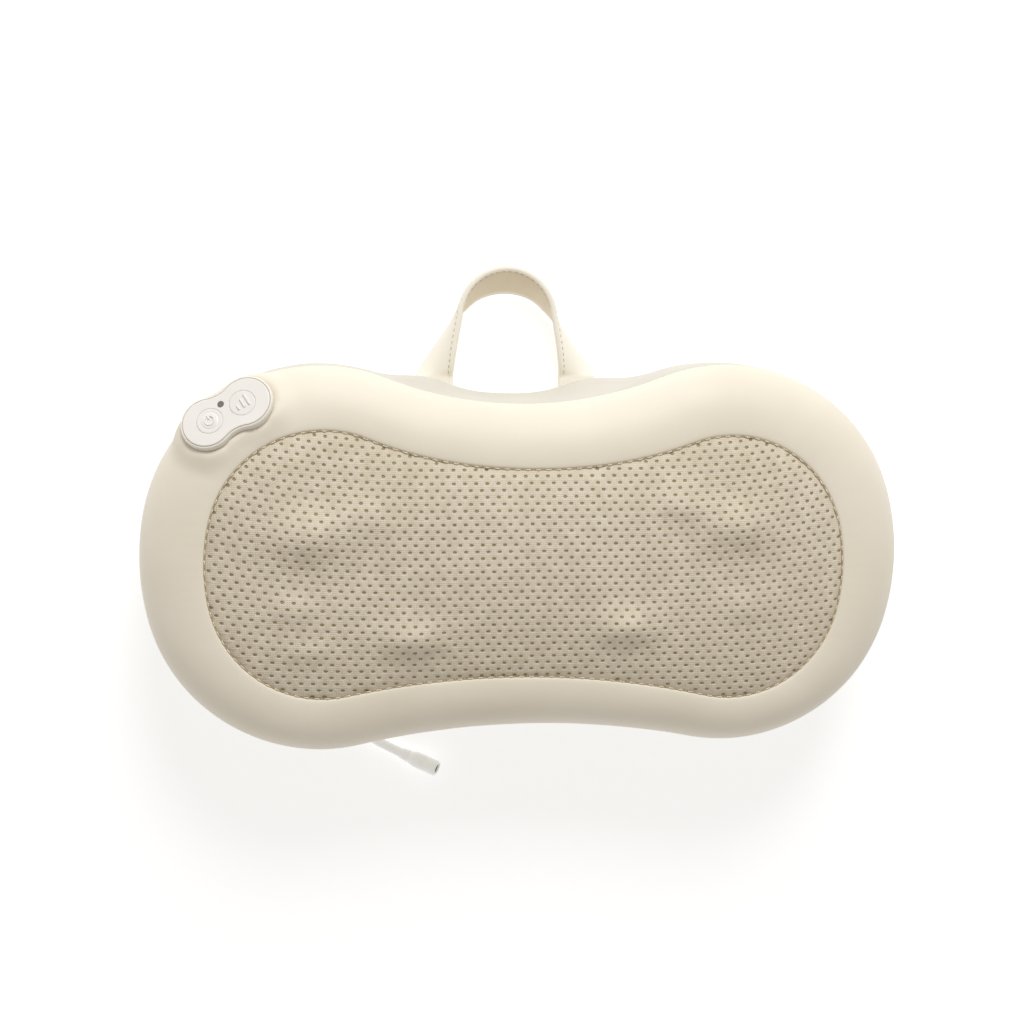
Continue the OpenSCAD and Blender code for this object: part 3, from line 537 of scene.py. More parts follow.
def quarter(d, dip):
    h = BODY_W / 2 - dip - LOBE_Y
    wr = (LOBE_X**2 + h * h - LOBE_R**2) / (2 * (LOBE_R - h))
    wy = BODY_W / 2 - dip + wr
    turn = math.atan2(wy - LOBE_Y, -LOBE_X)
    end = math.atan2(LOBE_Y, LOBE_X - END_X)
    return np.vstack([
        arc((END_X, 0), END_R - d, np.linspace(0, end, 3 * FINE, endpoint=False)),
        arc((LOBE_X, LOBE_Y), LOBE_R - d, np.linspace(end, turn, 10 * FINE, endpoint=False)),
        arc((0, wy), wr + d, np.linspace(turn - math.pi, -math.pi / 2, 7 * FINE + 1)),
    ])


def outline(d, dip=WAIST_FRONT):
    """The cushion's outline moved in by d, anticlockwise from its right end."""
    top, low = quarter(d, dip), quarter(d, WAIST_LOW)
    return np.vstack([top[:-1], (top * [-1, 1])[:0:-1], (low * [-1, -1])[:-1], (low * [1, -1])[:0:-1]])


def dip_at(z):
    """Depth of the upper waist at height z."""
    return WAIST_REAR + (WAIST_FRONT - WAIST_REAR) * min(1, max(0, (z - REAR_Z) / (SEAM_Z - REAR_Z)))


def ring(d, z):
    return at_height(outline(d, dip_at(z)), z)


def settle(points, share):
    """Draws the cover to where the window pulls it: share is 0 at the front seam and 1 at the window."""
    p = np.array(points, float)
    f = np.broadcast_to(share, len(p))
    x, y = p[:, 0].copy(), p[:, 1].copy()
    waist = np.exp(-((x / 60) ** 2)) * np.clip(y / 40, 0, 1)
    x2 = x * (1 - 0.0115 * f) - 0.4 * f
    y2 = y * (1 + 0.013 * f) - 2.2 * f + 2.0 * f * waist
    turn = math.radians(-1.1) * f
    p[:, 0], p[:, 1] = x2 * np.cos(turn) - y2 * np.sin(turn), x2 * np.sin(turn) + y2 * np.cos(turn)
    return p


# ---------------------------------------------------------------- control pad: its frame and outline

PAD_AT = np.array([-145.4, 74.1, 80.0])
PAD_TURN, PAD_TILT = math.radians(29), math.radians(-30)
PAD_LOBE_X, PAD_LOBE_R, PAD_WAIST = 10.3, 13.0, 11.0
PAD_FILLET = (PAD_LOBE_X**2 + PAD_WAIST**2 - PAD_LOBE_R**2) / (2 * (PAD_LOBE_R - PAD_WAIST))
PAD_SPIN = np.array(Matrix.Rotation(PAD_TURN, 3, "Z") @ Matrix.Rotation(PAD_TILT, 3, "X"))
BUTTON_X, BUTTON_R = 8.8, 6.4


def on_pad(points):
    return np.asarray(points, float) @ PAD_SPIN.T + PAD_AT


def peanut(r, z, steps=22):
    """The pad's outline at height z, with lobes of radius r."""
    flank_y = PAD_WAIST + PAD_FILLET
    flank_r = PAD_FILLET + PAD_LOBE_R - r
    meet = math.atan2(flank_y, -PAD_LOBE_X)
    lobe = np.linspace(-meet, meet, 2 * steps, endpoint=False)
    right = arc((PAD_LOBE_X, 0), r, lobe)
    top = arc((0, flank_y), flank_r, np.linspace(meet - math.pi, -meet, steps // 2, endpoint=False))
    return at_height(np.vstack([right, top, -right, -top]), z)


def circle(r, z, x, y=0.0, sides=64):
    return at_height(arc((x, y), r, np.arange(sides) * 2 * math.pi / sides), z)


# ---------------------------------------------------------------- padded border

ROLL = 2.3
half_turn = np.linspace(0, math.pi / 2, 17)
rolled = [(1 - math.cos(a) ** (2 / ROLL), math.sin(a) ** (2 / ROLL)) for a in half_turn]
border_profile = [(2.6, SEAM_Z - 0.4), (1.1, SEAM_Z - 0.35), (0.3, SEAM_Z + 0.15)]
border_profile += [(BORDER_W * f, SEAM_Z + (WINDOW_Z - SEAM_Z) * r) for f, r in rolled if 0.02 < r < 0.2
                   or 0.9 < BORDER_W * f < BORDER_W - 0.7]
border_profile += [(BORDER_W - 0.4, 81.85), (BORDER_W + 0.1, 81.3), (BORDER_W + 0.3, 80.5),
                   (BORDER_W + 0.1, 79.7)]
border_rings = [settle(ring(d, z), d / BORDER_W) for d, z in border_profile]


def pad_space(points):
    """Points in the pad's own frame."""
    return (np.asarray(points) - PAD_AT) @ PAD_SPIN


# in the pad's frame: where the leather meets the shell, and from how far it comes up and down to there
SEAT_Z, SEAT_REACH, SEAT_DROP = -1.95, 11, 7


def make_room(points):
    """Beds the control pad in the cover: hollow below it, and gathered up to its side all round."""
    local = pad_space(points)
    lobes = np.minimum(*[np.hypot(local[:, 0] - s * PAD_LOBE_X, local[:, 1]) for s in (-1, 1)]) - PAD_LOBE_R
    middle = np.maximum(abs(local[:, 0]) - PAD_LOBE_X, abs(local[:, 1]) - PAD_WAIST)
    away = np.minimum(lobes, middle)
    rest = local[:, 2]
    edge = SEAT_Z - 0.25 * np.clip(away, 0, None)
    near = np.clip(1 - away / SEAT_REACH, 0, 1) ** 2 * (rest > -16)
    lifted = near * (3 - 2 * np.sqrt(near))
    lowered = np.clip(1 - away / SEAT_DROP, 0, 1) ** 2
    raised = rest + (edge - rest) * np.where(rest < edge, lifted, lowered)
    sunk = np.minimum(raised, -3.4 - 2.6 * np.clip(-away - 0.4, 0, 3))
    local[:, 2] = np.where(away < -0.2, sunk, np.where(away < SEAT_REACH, raised, rest))
    return on_pad(local)


def swell(piece, pinned, pressure, limit, frames=20):
    """Lets a padded cover swell as cloth between its seams, and keeps each point within the limit."""
    data = piece.data
    rest = np.array([v.co for v in data.vertices])
    seams = piece.vertex_groups.new(name="seams")
    seams.add([int(i) for i in pinned], 1.0, "REPLACE")
    cloth = piece.modifiers.new("cloth", "CLOTH")
    s = cloth.settings
    s.quality, s.mass = 6, 0.3
    s.tension_stiffness = s.compression_stiffness = 30
    s.shear_stiffness, s.bending_stiffness = 15, 0.5
    s.vertex_group_mass = "seams"
    s.use_pressure, s.uniform_pressure_force = True, pressure
    s.effector_weights.gravity = 0
    cloth.point_cache.frame_end = frames
    for f in range(1, frames + 1):
        scene.frame_set(f)
    done = piece.evaluated_get(bpy.context.evaluated_depsgraph_get()).to_mesh()
    moved = np.array([v.co for v in done.vertices]) - rest
    piece.modifiers.clear()
    piece.vertex_groups.clear()
    scene.frame_set(1)
    far = np.linalg.norm(moved, axis=1, keepdims=True)
    held = moved * np.minimum(1, limit * MM / np.maximum(far, 1e-9))
    data.vertices.foreach_set("co", (rest + held).ravel())
    data.update()


points, faces = loft(border_rings)
border = add("border_cover", points, faces, LEATHER, None, slot="cover_leatherette")
per_ring = len(border_rings[0])
first_free, first_held = 3, len(border_rings) - 4
pinned = list(range(first_free * per_ring)) + list(range(first_held * per_ring, len(points)))
swell(border, pinned, 1.5, 1.6)
co = np.array([v.co for v in border.data.vertices]) / MM
row = np.arange(len(co)) // per_ring
free = np.clip(np.minimum(row - first_free + 1, first_held - row) / 3, 0, 1)
normals = np.array([v.normal for v in border.data.vertices])
wander = 0.5 * noise_at(co, 0.016, 3) + 0.22 * noise_at(co, 0.05, 8)
# the window's seam draws the cover into shallow puckers
along = np.arange(len(co)) % per_ring
at_seam = np.exp(-((first_held - 1 - row) / 1.6) ** 2)
pucker = at_seam * 0.12 * np.sin(along * 2.1 + 2 * noise_at(co, 0.08, 5))
co = co + normals * ((wander + pucker) * free)[:, None]
depth = np.array([d for d, _ in border_profile])[row]
co += (make_room(co) - co) * np.clip((BORDER_W - 2 - depth) / 7, 0, 1)[:, None]
border.data.vertices.foreach_set("co", (co * MM).ravel())
border.data.update()
thicken(border, 1.2)
soften(border)
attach(border, "cushion")
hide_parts("front_border")

# ---------------------------------------------------------------- gusset

SIDE = [(9.4, 1.6), (8.4, 0.75), (7.4, 0.7), (5.2, 1.9), (3, 4.4), (1.0, 7.8), (0, REAR_Z), (-0.45, 22),
        (-0.6, 33), (-0.4, 44), (0, 51), (0.3, 52.8), (1.1, 53.45), (2.6, 53.6)]
side_profile = smooth_line(SIDE, 30)
side_rings = [ring(d, z) for d, z in side_profile]
points, faces = loft(side_rings)
waviness = 0.45 * noise_at(points * [1, 1, 0.6], 0.02, 11) + 0.15 * noise_at(points, 0.07, 2)
hold = np.clip(np.minimum(points[:, 2] - 3, 51 - points[:, 2]) / 8, 0, 1)
outward = unit(np.column_stack([points[:, 0] * 0.25, points[:, 1], np.zeros(len(points))]))
# the handle's legs draw the side out where they are sewn in
LEG_X, LEG_SPREAD = 42, 17
from_legs = [(points[:, 0] - HANDLE[0] - s * LEG_X) / LEG_SPREAD for s in (-1, 1)]
pull = sum(np.exp(-(gap**2)) for gap in from_legs) * (points[:, 1] > 0)
height = np.interp(points[:, 2], [0.5, 4, 10, 20, 36, 52], [0, 0.7, 1, 0.9, 0.35, 0])
points = points + outward * (waviness * hold + 4.6 * pull * height)[:, None]
gusset = add("gusset_cover", points, faces, GUSSET, "cushion", slot="gusset_fabric")
thicken(gusset, 1.0)
soften(gusset)
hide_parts("side_gusset")

# ---------------------------------------------------------------- massage mesh

WINDOW = settle(outline(BORDER_W), 1)
PITCH_X, PITCH_Y = 5.4, 3.25
SOLID_EDGE = 1.5  # the fabric has no holes this close to its seam
# fabric lifted by the heads below: x, y, height, spread along x and along y
BUMPS = [(-108, 14.5, 6.8, 12, 8.5), (-58, -36, 5.2, 10, 6), (100, 17, 5.0, 11, 8), (46, -32, 5.2, 10, 6),
         (-80, 22, 2.4, 10, 7), (-115, -20, 2.4, 8, 5), (-107, -41, 1.6, 9, 4), (72, 28, 2.6, 8, 5.5),
         (108, -22, 1.5, 9, 6)]


def edge_distance(xy):
    """How far points lie inside the window's edge, negative outside it."""
    fine = resample(WINDOW, 1200, True)
    ahead = unit(np.roll(fine, -1, 0) - np.roll(fine, 1, 0))
    out = np.empty(len(xy))
    for s in range(0, len(xy), 4000):
        p = xy[s : s + 4000]
        gap = p[:, None] - fine[None]
        i = (gap**2).sum(2).argmin(1)
        g = p - fine[i]
        out[s : s + 4000] = ahead[i, 0] * g[:, 1] - ahead[i, 1] * g[:, 0]
    return out


def mesh_top(xy):
    """Height of the stretched mesh."""
    inner = np.clip(edge_distance(xy), 0, None)
    z = 79.6 + 2.0 * (1 - np.exp(-inner / 1.6)) + 8.5 * (1 - (1 - np.clip(inner / 58, 0, 1)) ** 2.6)
    lift = sum(h * np.exp(-((((xy - (x, y)) / (wx, wy)) ** 2).sum(1)) / 2) for x, y, h, wx, wy in BUMPS)
    return z + lift * np.clip(inner / 18, 0, 1)


def drawn(uv):
    """Where the pattern's points lie once the fabric is stretched over the rounded ends."""
    u, v = uv[:, 0], uv[:, 1]
    past = np.clip(abs(u) - 45, 0, None)
    k = np.where(u < 0, 1.0, 0.8) * (1 + 0.5 * np.clip(v / 60, -1, 1))
    y = v + 0.00075 * k * past**2
    x = u + np.where(u < 0, 0.0011, -0.0006) * past * v
    return np.column_stack([x, y])


def spacer_mesh():
    """The knitted sheet with its open holes: a brick pattern of cells, each with one oval hole."""
    cells, nodes = [], {}
    for j in range(-30, 24):
        for i in range(-36, 37):
            cells.append((2 * i + (j & 1), j))
    centre = drawn(np.array([(k * PITCH_X / 2, j * PITCH_Y) for k, j in cells]))
    depth = edge_distance(centre)
    corners = [(-1, 0), (0, 0), (1, 0), (1, 1), (0, 1), (-1, 1)]
    keep = [(c, d) for c, d in zip(cells, depth) if d > -3.4]
    for (k, j), _ in keep:
        for a, b in corners:
            nodes.setdefault((k + a, j + b), len(nodes))
    grid = np.array([(k * PITCH_X / 2, (m - 0.5) * PITCH_Y) for k, m in nodes])
    turn = np.radians(210 + 30 * np.arange(12))
    oval = np.column_stack([np.cos(turn), np.sin(turn)])
    hole = [(1.5, 1.08, 0.0), (1.14, 0.8, -0.1), (0.98, 0.66, -0.22), (0.96, 0.64, -0.34), (1.3, 0.95, -0.42)]
    n = len(grid)
    plan, drop = [grid, grid], [np.full(n, 0.12), np.full(n, -0.42)]
    base, faces, rim = 2 * n, [], {}
    for (k, j), d in keep:
        top = [nodes[(k + a, j + b)] for a, b in corners]
        low = [t + n for t in top]
        # an edge that two cells share is no part of the sheet's rim
        for b in range(6):
            e = (top[b], top[(b + 1) % 6])
            if (e[1], e[0]) in rim:
                del rim[(e[1], e[0])]
            else:
                rim[e] = True
        if d <= SOLID_EDGE:
            faces += [tuple(top), tuple(reversed(low))]
            continue
        middle = np.array([k * PITCH_X / 2, j * PITCH_Y])
        for rx, ry, z in hole:
            plan.append(middle + oval * [rx, ry])
            drop.append(np.full(12, z))
        r = [base + 12 * q for q in range(len(hole))]
        t, u = r[0], r[-1]
        for b in range(6):
            b2, p, q, s = (b + 1) % 6, 2 * b, 2 * b + 1, (2 * b + 2) % 12
            faces += [(top[b], top[b2], t + q), (top[b], t + q, t + p), (top[b2], t + s, t + q)]
            faces += [(low[b2], low[b], u + q), (low[b], u + p, u + q), (low[b2], u + q, u + s)]
        for over, below in zip(r, r[1:]):
            faces += [(over + p, over + (p + 1) % 12, below + (p + 1) % 12, below + p) for p in range(12)]
        base += 12 * len(hole)
    faces += [(b, a, a + n, b + n) for a, b in rim]
    flat = drawn(np.vstack(plan))
    z = mesh_top(flat) + np.concatenate(drop)
    return np.column_stack([flat, z]), faces


points, faces = spacer_mesh()
mesh_sheet = add("mesh_sheet", points, faces, MESH, "cushion", slot="mesh_fabric")
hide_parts("front_mesh_panel")


def under_mesh(drop, inset, steps=32):
    """A closed sheet that follows the mesh at a distance below it."""
    edge = resample(settle(outline(BORDER_W + inset), 1), 240, True)
    spine = np.column_stack([edge[:, 0] * 0.62, np.full(len(edge), -4.0)])
    shares = np.linspace(0, 1, steps) ** 1.6
    rings = []
    for level in (0, -0.6):
        group = []
        for share in shares[:-1]:
            flat = edge + (spine - edge) * share * 0.999
            group.append(np.column_stack([flat, mesh_top(flat) - drop + level]))
        rings.append(group)
    top, low = rings
    points, faces = loft(low[::-1] + top)
    k, m = len(edge), len(top)
    half = len(edge) // 2
    for start, flip in ((0, True), ((2 * m - 1) * k, False)):
        # both sides of the sheet close along the spine, point to opposite point
        for i in range(half - 1):
            f = (start + i, start + i + 1, start + (k - i - 1) % k, start + (k - i) % k)
            faces.append(tuple(dict.fromkeys(reversed(f) if flip else f)))
    return points, faces


points, faces = under_mesh(0.5, 0.3)
backing = add("mesh_backing", points, faces, BACKING, "cushion", slot="lining_fabric")
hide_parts("inner_lining")

# ---------------------------------------------------------------- seams

def round_path(d, z, warp, count=900):
    """The outline at inset d and height z, with directions out of the cover."""
    edge = resample(settle(outline(d, dip_at(z)), warp), count, True)
    ahead = unit(np.roll(edge, -1, 0) - np.roll(edge, 1, 0))
    outward = np.column_stack([ahead[:, 1], -ahead[:, 0], np.zeros(count)])
    return at_height(edge, z), outward


def piping(name, line, out, radius, paint, slot, sides=8):
    """A closed cord sewn along a seam."""
    up = np.cross(out, unit(np.roll(line, -1, 0) - np.roll(line, 1, 0)))
    turns = np.arange(sides) * 2 * math.pi / sides
    rings = [line + radius * (math.cos(a) * out + math.sin(a) * up) for a in turns]
    points, faces = loft(rings, wrap=True)
    add(name, points, faces, paint, "cushion", slot=slot)


# a tan cord round the window's seam, its brown standing for the shade in the groove between border and mesh:
# painted shade
line, out = round_path(BORDER_W + 0.5, 80.95, 1)
piping("window_groove_shade_cord", line, out, 0.45, GROOVE_SHADE_CORD, "cover_leatherette")
stitches("window_stitches", line + [0, 0, 0.3], np.column_stack([-0.3 * out[:, :2], np.ones(len(out))]),
         5.0, 3.2, 0.36, CREAM_THREAD, "cushion", "cover_leatherette")
line, out = round_path(0.75, SEAM_Z - 0.25, 0)
piping("seam_welt", line, out, 0.5, GUSSET, "gusset_fabric")
line, out = round_path(0.55, SEAM_Z + 0.75, 0, 1500)
stitches("seam_stitches", line, unit(out + [0, 0, 0.3]), 3.6, 2.0, 0.19, PALE_THREAD, "cushion",
         "cover_leatherette")

# ---------------------------------------------------------------- back

ZIP_L, ZIP_W, ZIP_Y = 210, 14, -41
ZIP_MID = np.array([0.0, ZIP_Y])


def slot_edge(angles, grow=0.0):
    """The zip's slot, seen from its middle in the given directions; grow narrows it."""
    c, n = np.cos(angles), np.sin(angles)
    r = 1 / np.maximum(abs(c) / (ZIP_L / 2 - grow), abs(n) / (ZIP_W / 2 - grow))
    return ZIP_MID + r[:, None] * np.column_stack([c, n])


def back_edge(angles, inset):
    """The back's outline, seen from the zip's middle in the given directions."""
    rel = resample(outline(inset, WAIST_REAR), 1500, True) - ZIP_MID
    r = np.interp(angles, np.arctan2(rel[:, 1], rel[:, 0]), np.hypot(*rel.T), period=2 * math.pi)
    return ZIP_MID + r[:, None] * np.column_stack([np.cos(angles), np.sin(angles)])


rel = resample(outline(9.0, WAIST_REAR), 280, True) - ZIP_MID
corner = math.atan2(ZIP_W, ZIP_L)
along_slot = np.linspace(-ZIP_L / 2, ZIP_L / 2, 61)[1:-1]
angles = np.concatenate([np.arctan2(rel[:, 1], rel[:, 0]), np.arctan2(ZIP_W / 2, along_slot),
                         np.arctan2(-ZIP_W / 2, along_slot),
                         [corner, -corner, math.pi - corner, corner - math.pi]])
angles = np.unique(angles.round(4))
rings = [at_height(back_edge(angles, 8.7 + inset), z)
         for inset, z in ((0.0, 1.5), (0.15, 0.7), (0.7, 0.15), (1.8, 0.0))]
start, slot_side = rings[-1][:, :2], slot_edge(angles)
for share in np.linspace(0, 1, 14)[1:]:
    flat = start + (slot_side - start) * share
    wave = 0.35 * np.clip(noise_at(at_height(flat, 0), 0.03, 21), 0, 1)
    rings.append(np.column_stack([flat, wave * min(1, 4 * (1 - share)) * min(1, 4 * share)]))
rings += [at_height(slot_edge(angles, grow), z) for grow, z in ((0.35, 0.12), (0.5, 0.6), (0.5, 1.8))]
points, faces = loft(rings)
back = add("back_cover", points, turned_back(faces), BACK, "cushion", slot="back_fabric")
thicken(back, 0.8)
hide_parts("back_panel")

tapes = []
for s in (-1, 1):
    lo, hi = sorted((ZIP_Y + s * 0.5, ZIP_Y + s * (ZIP_W / 2 - 0.1)))
    fold = lo + (hi - lo) * 0.3
    group = []
    for x in np.linspace(-ZIP_L / 2 + 0.4, ZIP_L / 2 - 0.4, 90):
        ripple = 0.1 * math.sin(x * 0.35 + s)
        group.append(np.array([(x, lo, 2.3), (x, fold, 2.25 + ripple), (x, hi, 2.0), (x, hi, 2.8),
                               (x, fold, 3.1 + ripple), (x, lo, 3.1)]))
    tapes.append(closed_loft(group))
zip_tape = add("zip_tape_pair", *merge(tapes), TAPE, "cushion", slot="zip_tape")
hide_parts("zip_tapes")


def block(x, y, z, sx, sy, sz, soft=0.25):
    """A small block with chamfered edges."""
    rings = []
    for grow, h in ((1 - soft, -1), (1, -0.55), (1, 0.55), (1 - soft, 1)):
        a, b, c = sx / 2 * grow, sy / 2 * grow, soft * min(sx, sy) / 2
        flat = [(a, b - c), (a - c, b), (c - a, b), (-a, b - c)]
        flat += [(-u, -v) for u, v in flat]
        rings.append(np.array([(x + u, y + v, z + h * sz / 2) for u, v in flat]))
    return closed_loft(rings)


TEETH, TOOTH_PITCH = 136, 1.5
teeth = []
for k in range(TEETH):
    stagger = 0.55 if k % 2 else -0.55
    teeth.append(block(-ZIP_L / 2 + 4 + TOOTH_PITCH * k, ZIP_Y + stagger, 2.0, 1.15, 3.2, 0.9))
for x in (-ZIP_L / 2 + 2.2, ZIP_L / 2 - 2.2):
    teeth.append(block(x, ZIP_Y, 2.0, 2.2, 5.0, 1.2))
zip_teeth = add("zip_teeth", *merge(teeth), PALE_THREAD, "cushion", slot="zip_tape")

SLIDE_X = -84.0
wedge = np.array([(6, 2.6), (5.2, 3.4), (0, 3.9), (-5, 3.4), (-6, 2.4), (-6, -2.4), (-5, -3.4), (0, -3.9),
                  (5.2, -3.4), (6, -2.6)])
body_rings = []
for grow, z in ((0.86, 1.65), (0.97, 1.5), (1, 1.2), (1, 0.95), (0.95, 0.75), (0.82, 0.65)):
    body_rings.append(at_height(wedge * grow + [SLIDE_X, ZIP_Y], z)[::-1])
bridge = block(SLIDE_X + 1, ZIP_Y, 0.75, 7, 2.0, 0.5)
near_turns = np.linspace(-math.pi / 2, math.pi / 2, 9)
far_turns = np.linspace(math.pi / 2, 1.5 * math.pi, 15)
TAB_L = 14
tab = np.vstack([arc((0, 0), 1, near_turns) * [0.9, 2.1] - [2, 0], arc((-TAB_L, 0), 2.6, far_turns)])
tab = tab + [SLIDE_X, ZIP_Y]
mid = tab.mean(0)
outer = [at_height(mid + (tab - mid) * g, z) for g, z in ((0.95, 0.05), (1, 0.2), (1, 0.45), (0.95, 0.6))]
EYE = [(1.35, 0.6), (1.2, 0.45), (1.2, 0.2), (1.35, 0.05)]
hole = [circle(r, z, SLIDE_X - TAB_L, ZIP_Y, 24) for r, z in EYE]
pull_parts = [closed_loft(body_rings), bridge, solid(outer, [hole])]
zip_pull = add("zip_pull_tab", *merge(pull_parts), NODE_PAINT["can"], "zip_pull", smooth=False,
               slot="zip_metal")
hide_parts("zip_slider")

# ---------------------------------------------------------------- carry handle

LEG_IN, LOOP_R, LEG_L, STRAP_W = 27.5, 24.0, 31.8, 19.0
LOOP_LEAN = math.radians(44)
TWIST_END = LEG_L + 13  # the strap stands upright from here on


def strap_across(y):
    """The direction across the strap: flat at its sewn ends, and upright and leaning back in the loop."""
    f = max(0.0, min(1.0, y / TWIST_END))
    c = (1 - 1.05 * f * f / (f + 0.05)) ** 1.2
    lean = math.sin(LOOP_LEAN) * max(0.0, y / (LEG_L + LOOP_R)) ** 1.2
    return np.array([c, -lean, -math.sqrt(max(0.0, 1 - c * c - lean * lean))])


def strap_frame():
    """One edge, direction across and normal at each station, and the number of stations up to the top."""
    half = []
    for y in np.linspace(-11, 0, 8)[:-1]:
        half.append((np.array([LEG_IN, y, 0]), strap_across(0)))
    for y in np.linspace(0, LEG_L, 34)[:-1]:
        half.append((np.array([LEG_IN + (LOOP_R - LEG_IN) * (y / LEG_L) ** 1.4, y, 0]), strap_across(y)))
    for a in np.linspace(0, math.pi / 2, 25):
        at = np.array([LOOP_R * math.cos(a), LEG_L + LOOP_R * math.sin(a), 0])
        half.append((at, strap_across(at[1])))
    flip = np.array([-1, 1, 1])
    whole = half + [(p * flip, w * flip) for p, w in half[-2::-1]]
    line, w = np.array([h[0] for h in whole]), unit(np.array([h[1] for h in whole]))
    line = line - np.column_stack([np.zeros((len(w), 2)), w[:, 2] * STRAP_W / 2])
    t = unit(np.gradient(np.array([h[0] for h in whole]), axis=0))
    return line + HANDLE, w, unit(np.cross(t, w)), len(half)


strap_line, strap_w, strap_n, halfway = strap_frame()
# half section of the strap across its width: (share of the width, half thickness)
SECTION = [(0.0, 0.35), (0.012, 0.95), (0.04, 1.4), (0.075, 1.5), (0.105, 1.42), (0.13, 1.1), (0.155, 1.3),
           (0.2, 1.42), (0.35, 1.5), (0.5, 1.5), (0.65, 1.5), (0.8, 1.45), (0.87, 1.38), (0.91, 1.2),
           (0.94, 1.42), (0.965, 1.35), (0.988, 0.95), (1.0, 0.35)]
STITCH_U = 0.13


def strap_point(i, u, v):
    return strap_line[i] + strap_w[i] * STRAP_W * u + strap_n[i] * v


rings = []
total = len(strap_line)
for i in range(total):
    loop_share = max(0.0, 1 - abs(i - (halfway - 1)) / 26)
    loop = []
    for side_sign in (-1, 1):
        for u, h in SECTION if side_sign < 0 else SECTION[::-1]:
            crease = 0.0
            if 0.16 < u < 0.84:
                fold = noise.noise(Vector((i * 0.55, u * 1.3, side_sign * 4.0)))
                crease = 0.7 * loop_share * math.sin(math.pi * (u - 0.16) / 0.68) * fold
                crease += 0.12 * noise.noise(Vector(strap_point(i, u, 0)) * 0.12)
            loop.append(strap_point(i, u, side_sign * (h + crease)))
    rings.append(np.array(loop))
points, faces = closed_loft(rings)
strap = add("carry_strap", points, turned_back(faces), STRAP_SKIN_LIT, None, slot="cover_leatherette")
strap.data.materials.append(STRAP_INNER_SHADE)
# the loop's inner face between its two rows of stitches gets a darker copy of the leatherette: painted shade
inner_first = strap_n[halfway - 1][1] > 0
section_n = len(SECTION)
for i, face in enumerate(strap.data.polygons[: 2 * section_n * (total - 1)]):
    k = i % (2 * section_n)
    if (k < section_n) == inner_first and 5 <= k % section_n <= 12:
        face.material_index = 1
soften(strap)
rows = []
sewn_in = 9  # stations at each end that lie inside the gusset
stations = np.arange(sewn_in, total - sewn_in)
for s, side_name in ((-1, "a"), (1, "b")):
    line = np.array([strap_point(i, STITCH_U, s * 1.14) for i in stations])
    rows.append(stitches(f"strap_stitches_{side_name}", line, strap_n[stations] * s, 3.1, 2.2, 0.26,
                         PALE_THREAD, None, "cover_leatherette"))
for piece in [strap] + rows:
    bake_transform(piece)
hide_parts("carry_handle", "handle_tabs")

# ---------------------------------------------------------------- control pad

# (lobe radius, height) from the shell's floor over its rim and down to the ledge under the plate
SHELL_PROFILE = [(11.6, -9.5), (12.5, -9.35), (12.95, -8.8), (13.0, -8.0), (13.1, -3.6), (13.35, -2.7),
                 (13.42, -2.0), (13.36, -1.4), (13.2, -0.9), (12.95, -0.52), (12.65, -0.32), (12.42, -0.34),
                 (12.3, -0.5), (12.28, -1.0), (11.6, -1.05), (11.6, -3.6)]
p, f = closed_loft([peanut(r, z) for r, z in SHELL_PROFILE])
shell = add("pad_shell_body", on_pad(p), f, SHELL, "cushion", slot="pad_shell")
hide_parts("pad_base")
PLATE_PROFILE = [(11.5, -2.5), (11.5, -0.54), (11.95, -0.5), (11.95, -0.26), (11.84, -0.06), (11.5, 0.0),
                 (11.4, 0.0)]
BUTTON_HOLE = [(0.34, 0.0), (0.26, 0.0), (0.14, -0.06), (0.1, -0.22), (0.1, -2.5)]
LENS_HOLE = [(1.95, 0.0), (1.85, 0.0), (1.68, -0.12), (1.62, -0.5), (1.62, -2.5)]
plate_rings = [peanut(r, z) for r, z in PLATE_PROFILE]
holes = [[circle(BUTTON_R + gap, z, x, 0) for gap, z in BUTTON_HOLE] for x in (-BUTTON_X, BUTTON_X)]
holes.append([circle(r, z, -0.6, 5.0, 32) for r, z in LENS_HOLE])
p, f = solid([peanut(12.27, -1.0), peanut(12.27, -0.55)], [[peanut(11.7, -0.55), peanut(11.7, -1.0)]])
add("pad_seal", on_pad(p), f, TAPE, "cushion", slot="pad_shell")
p, f = solid(plate_rings, holes)
plate = add("pad_face_plate", on_pad(p), f, GLOSS, "cushion", slot="pad_face")
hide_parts("pad_cover")


def button(name, x, body, node, crown):
    """A button from its hidden foot to the rounded edge, and then its crown's rings."""
    foot = [(BUTTON_R, -2.2), (BUTTON_R, -0.2), (BUTTON_R - 0.08, -0.02), (BUTTON_R - 0.25, 0.06),
            (BUTTON_R - 0.7, 0.08), (4.6, 0.08)]
    p, f = closed_loft([circle(r, z, x, 0) for r, z in foot + crown])
    piece = add(name, on_pad(p), f, SATIN, body, slot="button_plastic")
    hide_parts(node)


def raised(name, shapes, body, base, height=0.38):
    """Raised symbols: each shape is a closed outline in the pad's frame."""
    parts = []
    for shape in shapes:
        s = np.array(shape)
        m = s.mean(0)
        rings = [at_height(m + (s - m) * g, z) for g, z in
                 ((1, base - 0.1), (1, base + height * 0.6), (0.97, base + height))]
        p, f = loft(rings)
        upper = [tuple(len(p) - len(s) + i for i in t) for t in cap([rings[-1]])]
        parts.append((p, f + upper + turned_back(cap([rings[0]]))))
    p, f = merge(parts)
    add(name, on_pad(p), f, SATIN, body, slot="button_plastic")


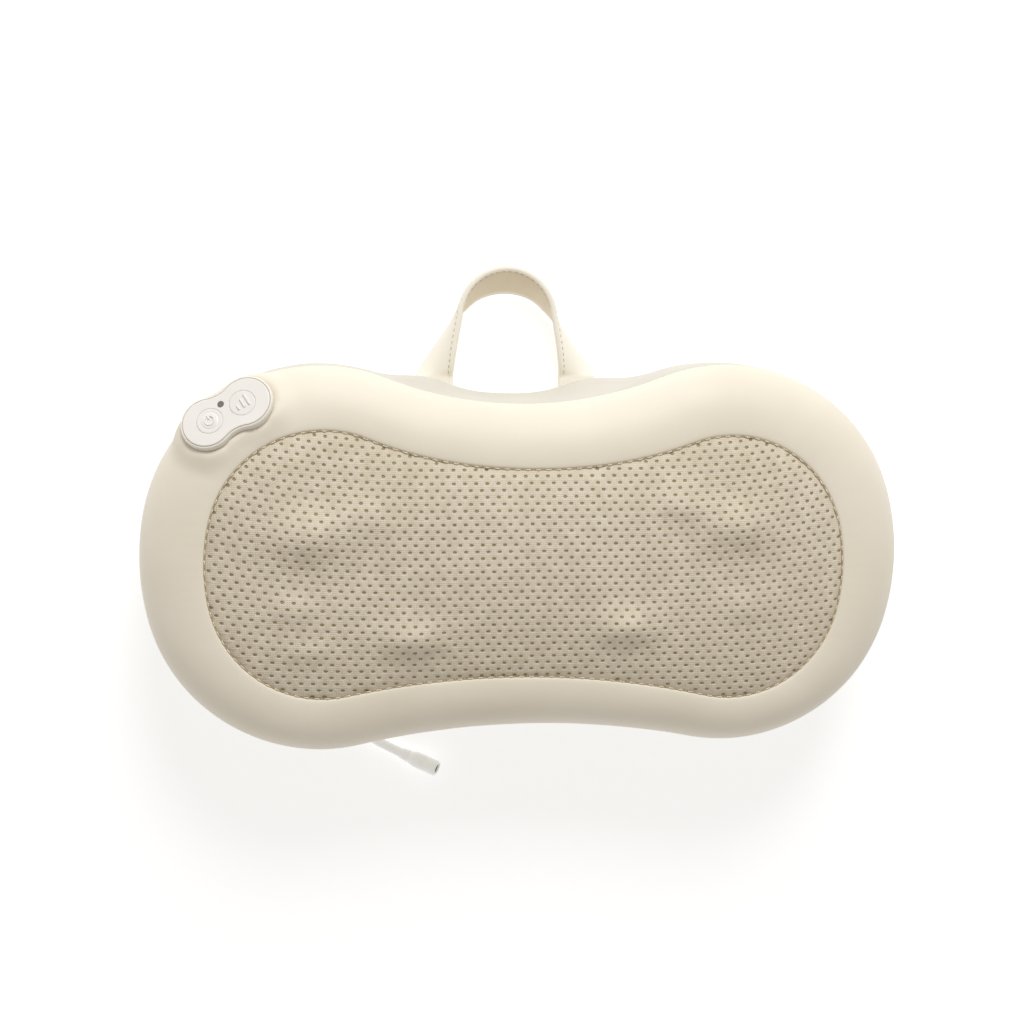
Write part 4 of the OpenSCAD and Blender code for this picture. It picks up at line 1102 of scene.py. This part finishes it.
button("power_cap", -BUTTON_X, "power_button", "power_button",
       [(4.4, 0.04), (4.15, 0.08), (3.9, 0.24), (3.6, 0.32), (3.2, 0.34), (0.05, 0.34)])
button("level_cap", BUTTON_X, "level_button", "level_button", [(2.0, 0.1), (0.05, 0.1)])
arc_turns = np.radians(np.linspace(118, 422, 40))
band = np.vstack([arc((-BUTTON_X, 0), 2.6, arc_turns), arc((-BUTTON_X, 0), 1.95, arc_turns[::-1])])
bar = np.array([(-0.34, 0.5), (0.34, 0.5), (0.34, 3.0), (-0.34, 3.0)]) + [-BUTTON_X, 0]
raised("power_icon", [band, bar], "power_button", 0.34)
slant = math.radians(3)
spin = np.array([[math.cos(slant), -math.sin(slant)], [math.sin(slant), math.cos(slant)]])
bars = []
for x, y, h in ((-2.7, -1.4, 0.95), (0.0, -0.3, 2.1), (2.6, 0.4, 2.9)):
    ends = arc((0, 0), 0.55, np.radians(15 + 30 * np.arange(12)))
    ends[:, 1] += np.copysign(h, ends[:, 1])
    bars.append(ends @ spin.T + [BUTTON_X + x, y])
raised("level_icon", bars, "level_button", 0.1, 0.45)

# ---------------------------------------------------------------- floor, light

floor_paint = Paint("pale_floor", 0.9, Specular_IOR_Level=0.05, Emission_Color=(1, 1, 1, 1),
                    Emission_Strength=0.6)
floor_paint.colour(floor_paint.noise(3, 2), (0.3, (0.62, 0.625, 0.63)), (0.7, (0.63, 0.635, 0.64)))
floor_paint.bump(floor_paint.noise(400, 2), 0.05, 0.3)
floor_data = bpy.data.meshes.new("floor")
floor_data.from_pydata([(-6, -6, 0), (6, -6, 0), (6, 6, 0), (-6, 6, 0)], [], [(0, 1, 2, 3)])
floor_data.materials.append(floor_paint.mat)
floor = bpy.data.objects.new("floor", floor_data)
floor.location.z = -0.0005
scene.collection.objects.link(floor)

world = bpy.data.worlds.new("studio")
world.use_nodes = True
world.node_tree.nodes["Background"].inputs["Color"].default_value = (1, 0.965, 0.905, 1)
world.node_tree.nodes["Background"].inputs["Strength"].default_value = 0.485
scene.world = world


def lamp(name, place, aim, size, power, colour=(1, 1, 1)):
    data = bpy.data.lights.new(name, "AREA")
    data.shape, data.size, data.energy, data.color = "DISK", size, power, colour
    piece = bpy.data.objects.new(name, data)
    piece.location = place
    piece.rotation_euler = (Vector(aim) - Vector(place)).to_track_quat("-Z", "Y").to_euler()
    scene.collection.objects.link(piece)


lamp("key", (0.15, 1.4, 1.1), (0, 0, 0), 0.9, 17.8, (0.985, 0.995, 1.0))
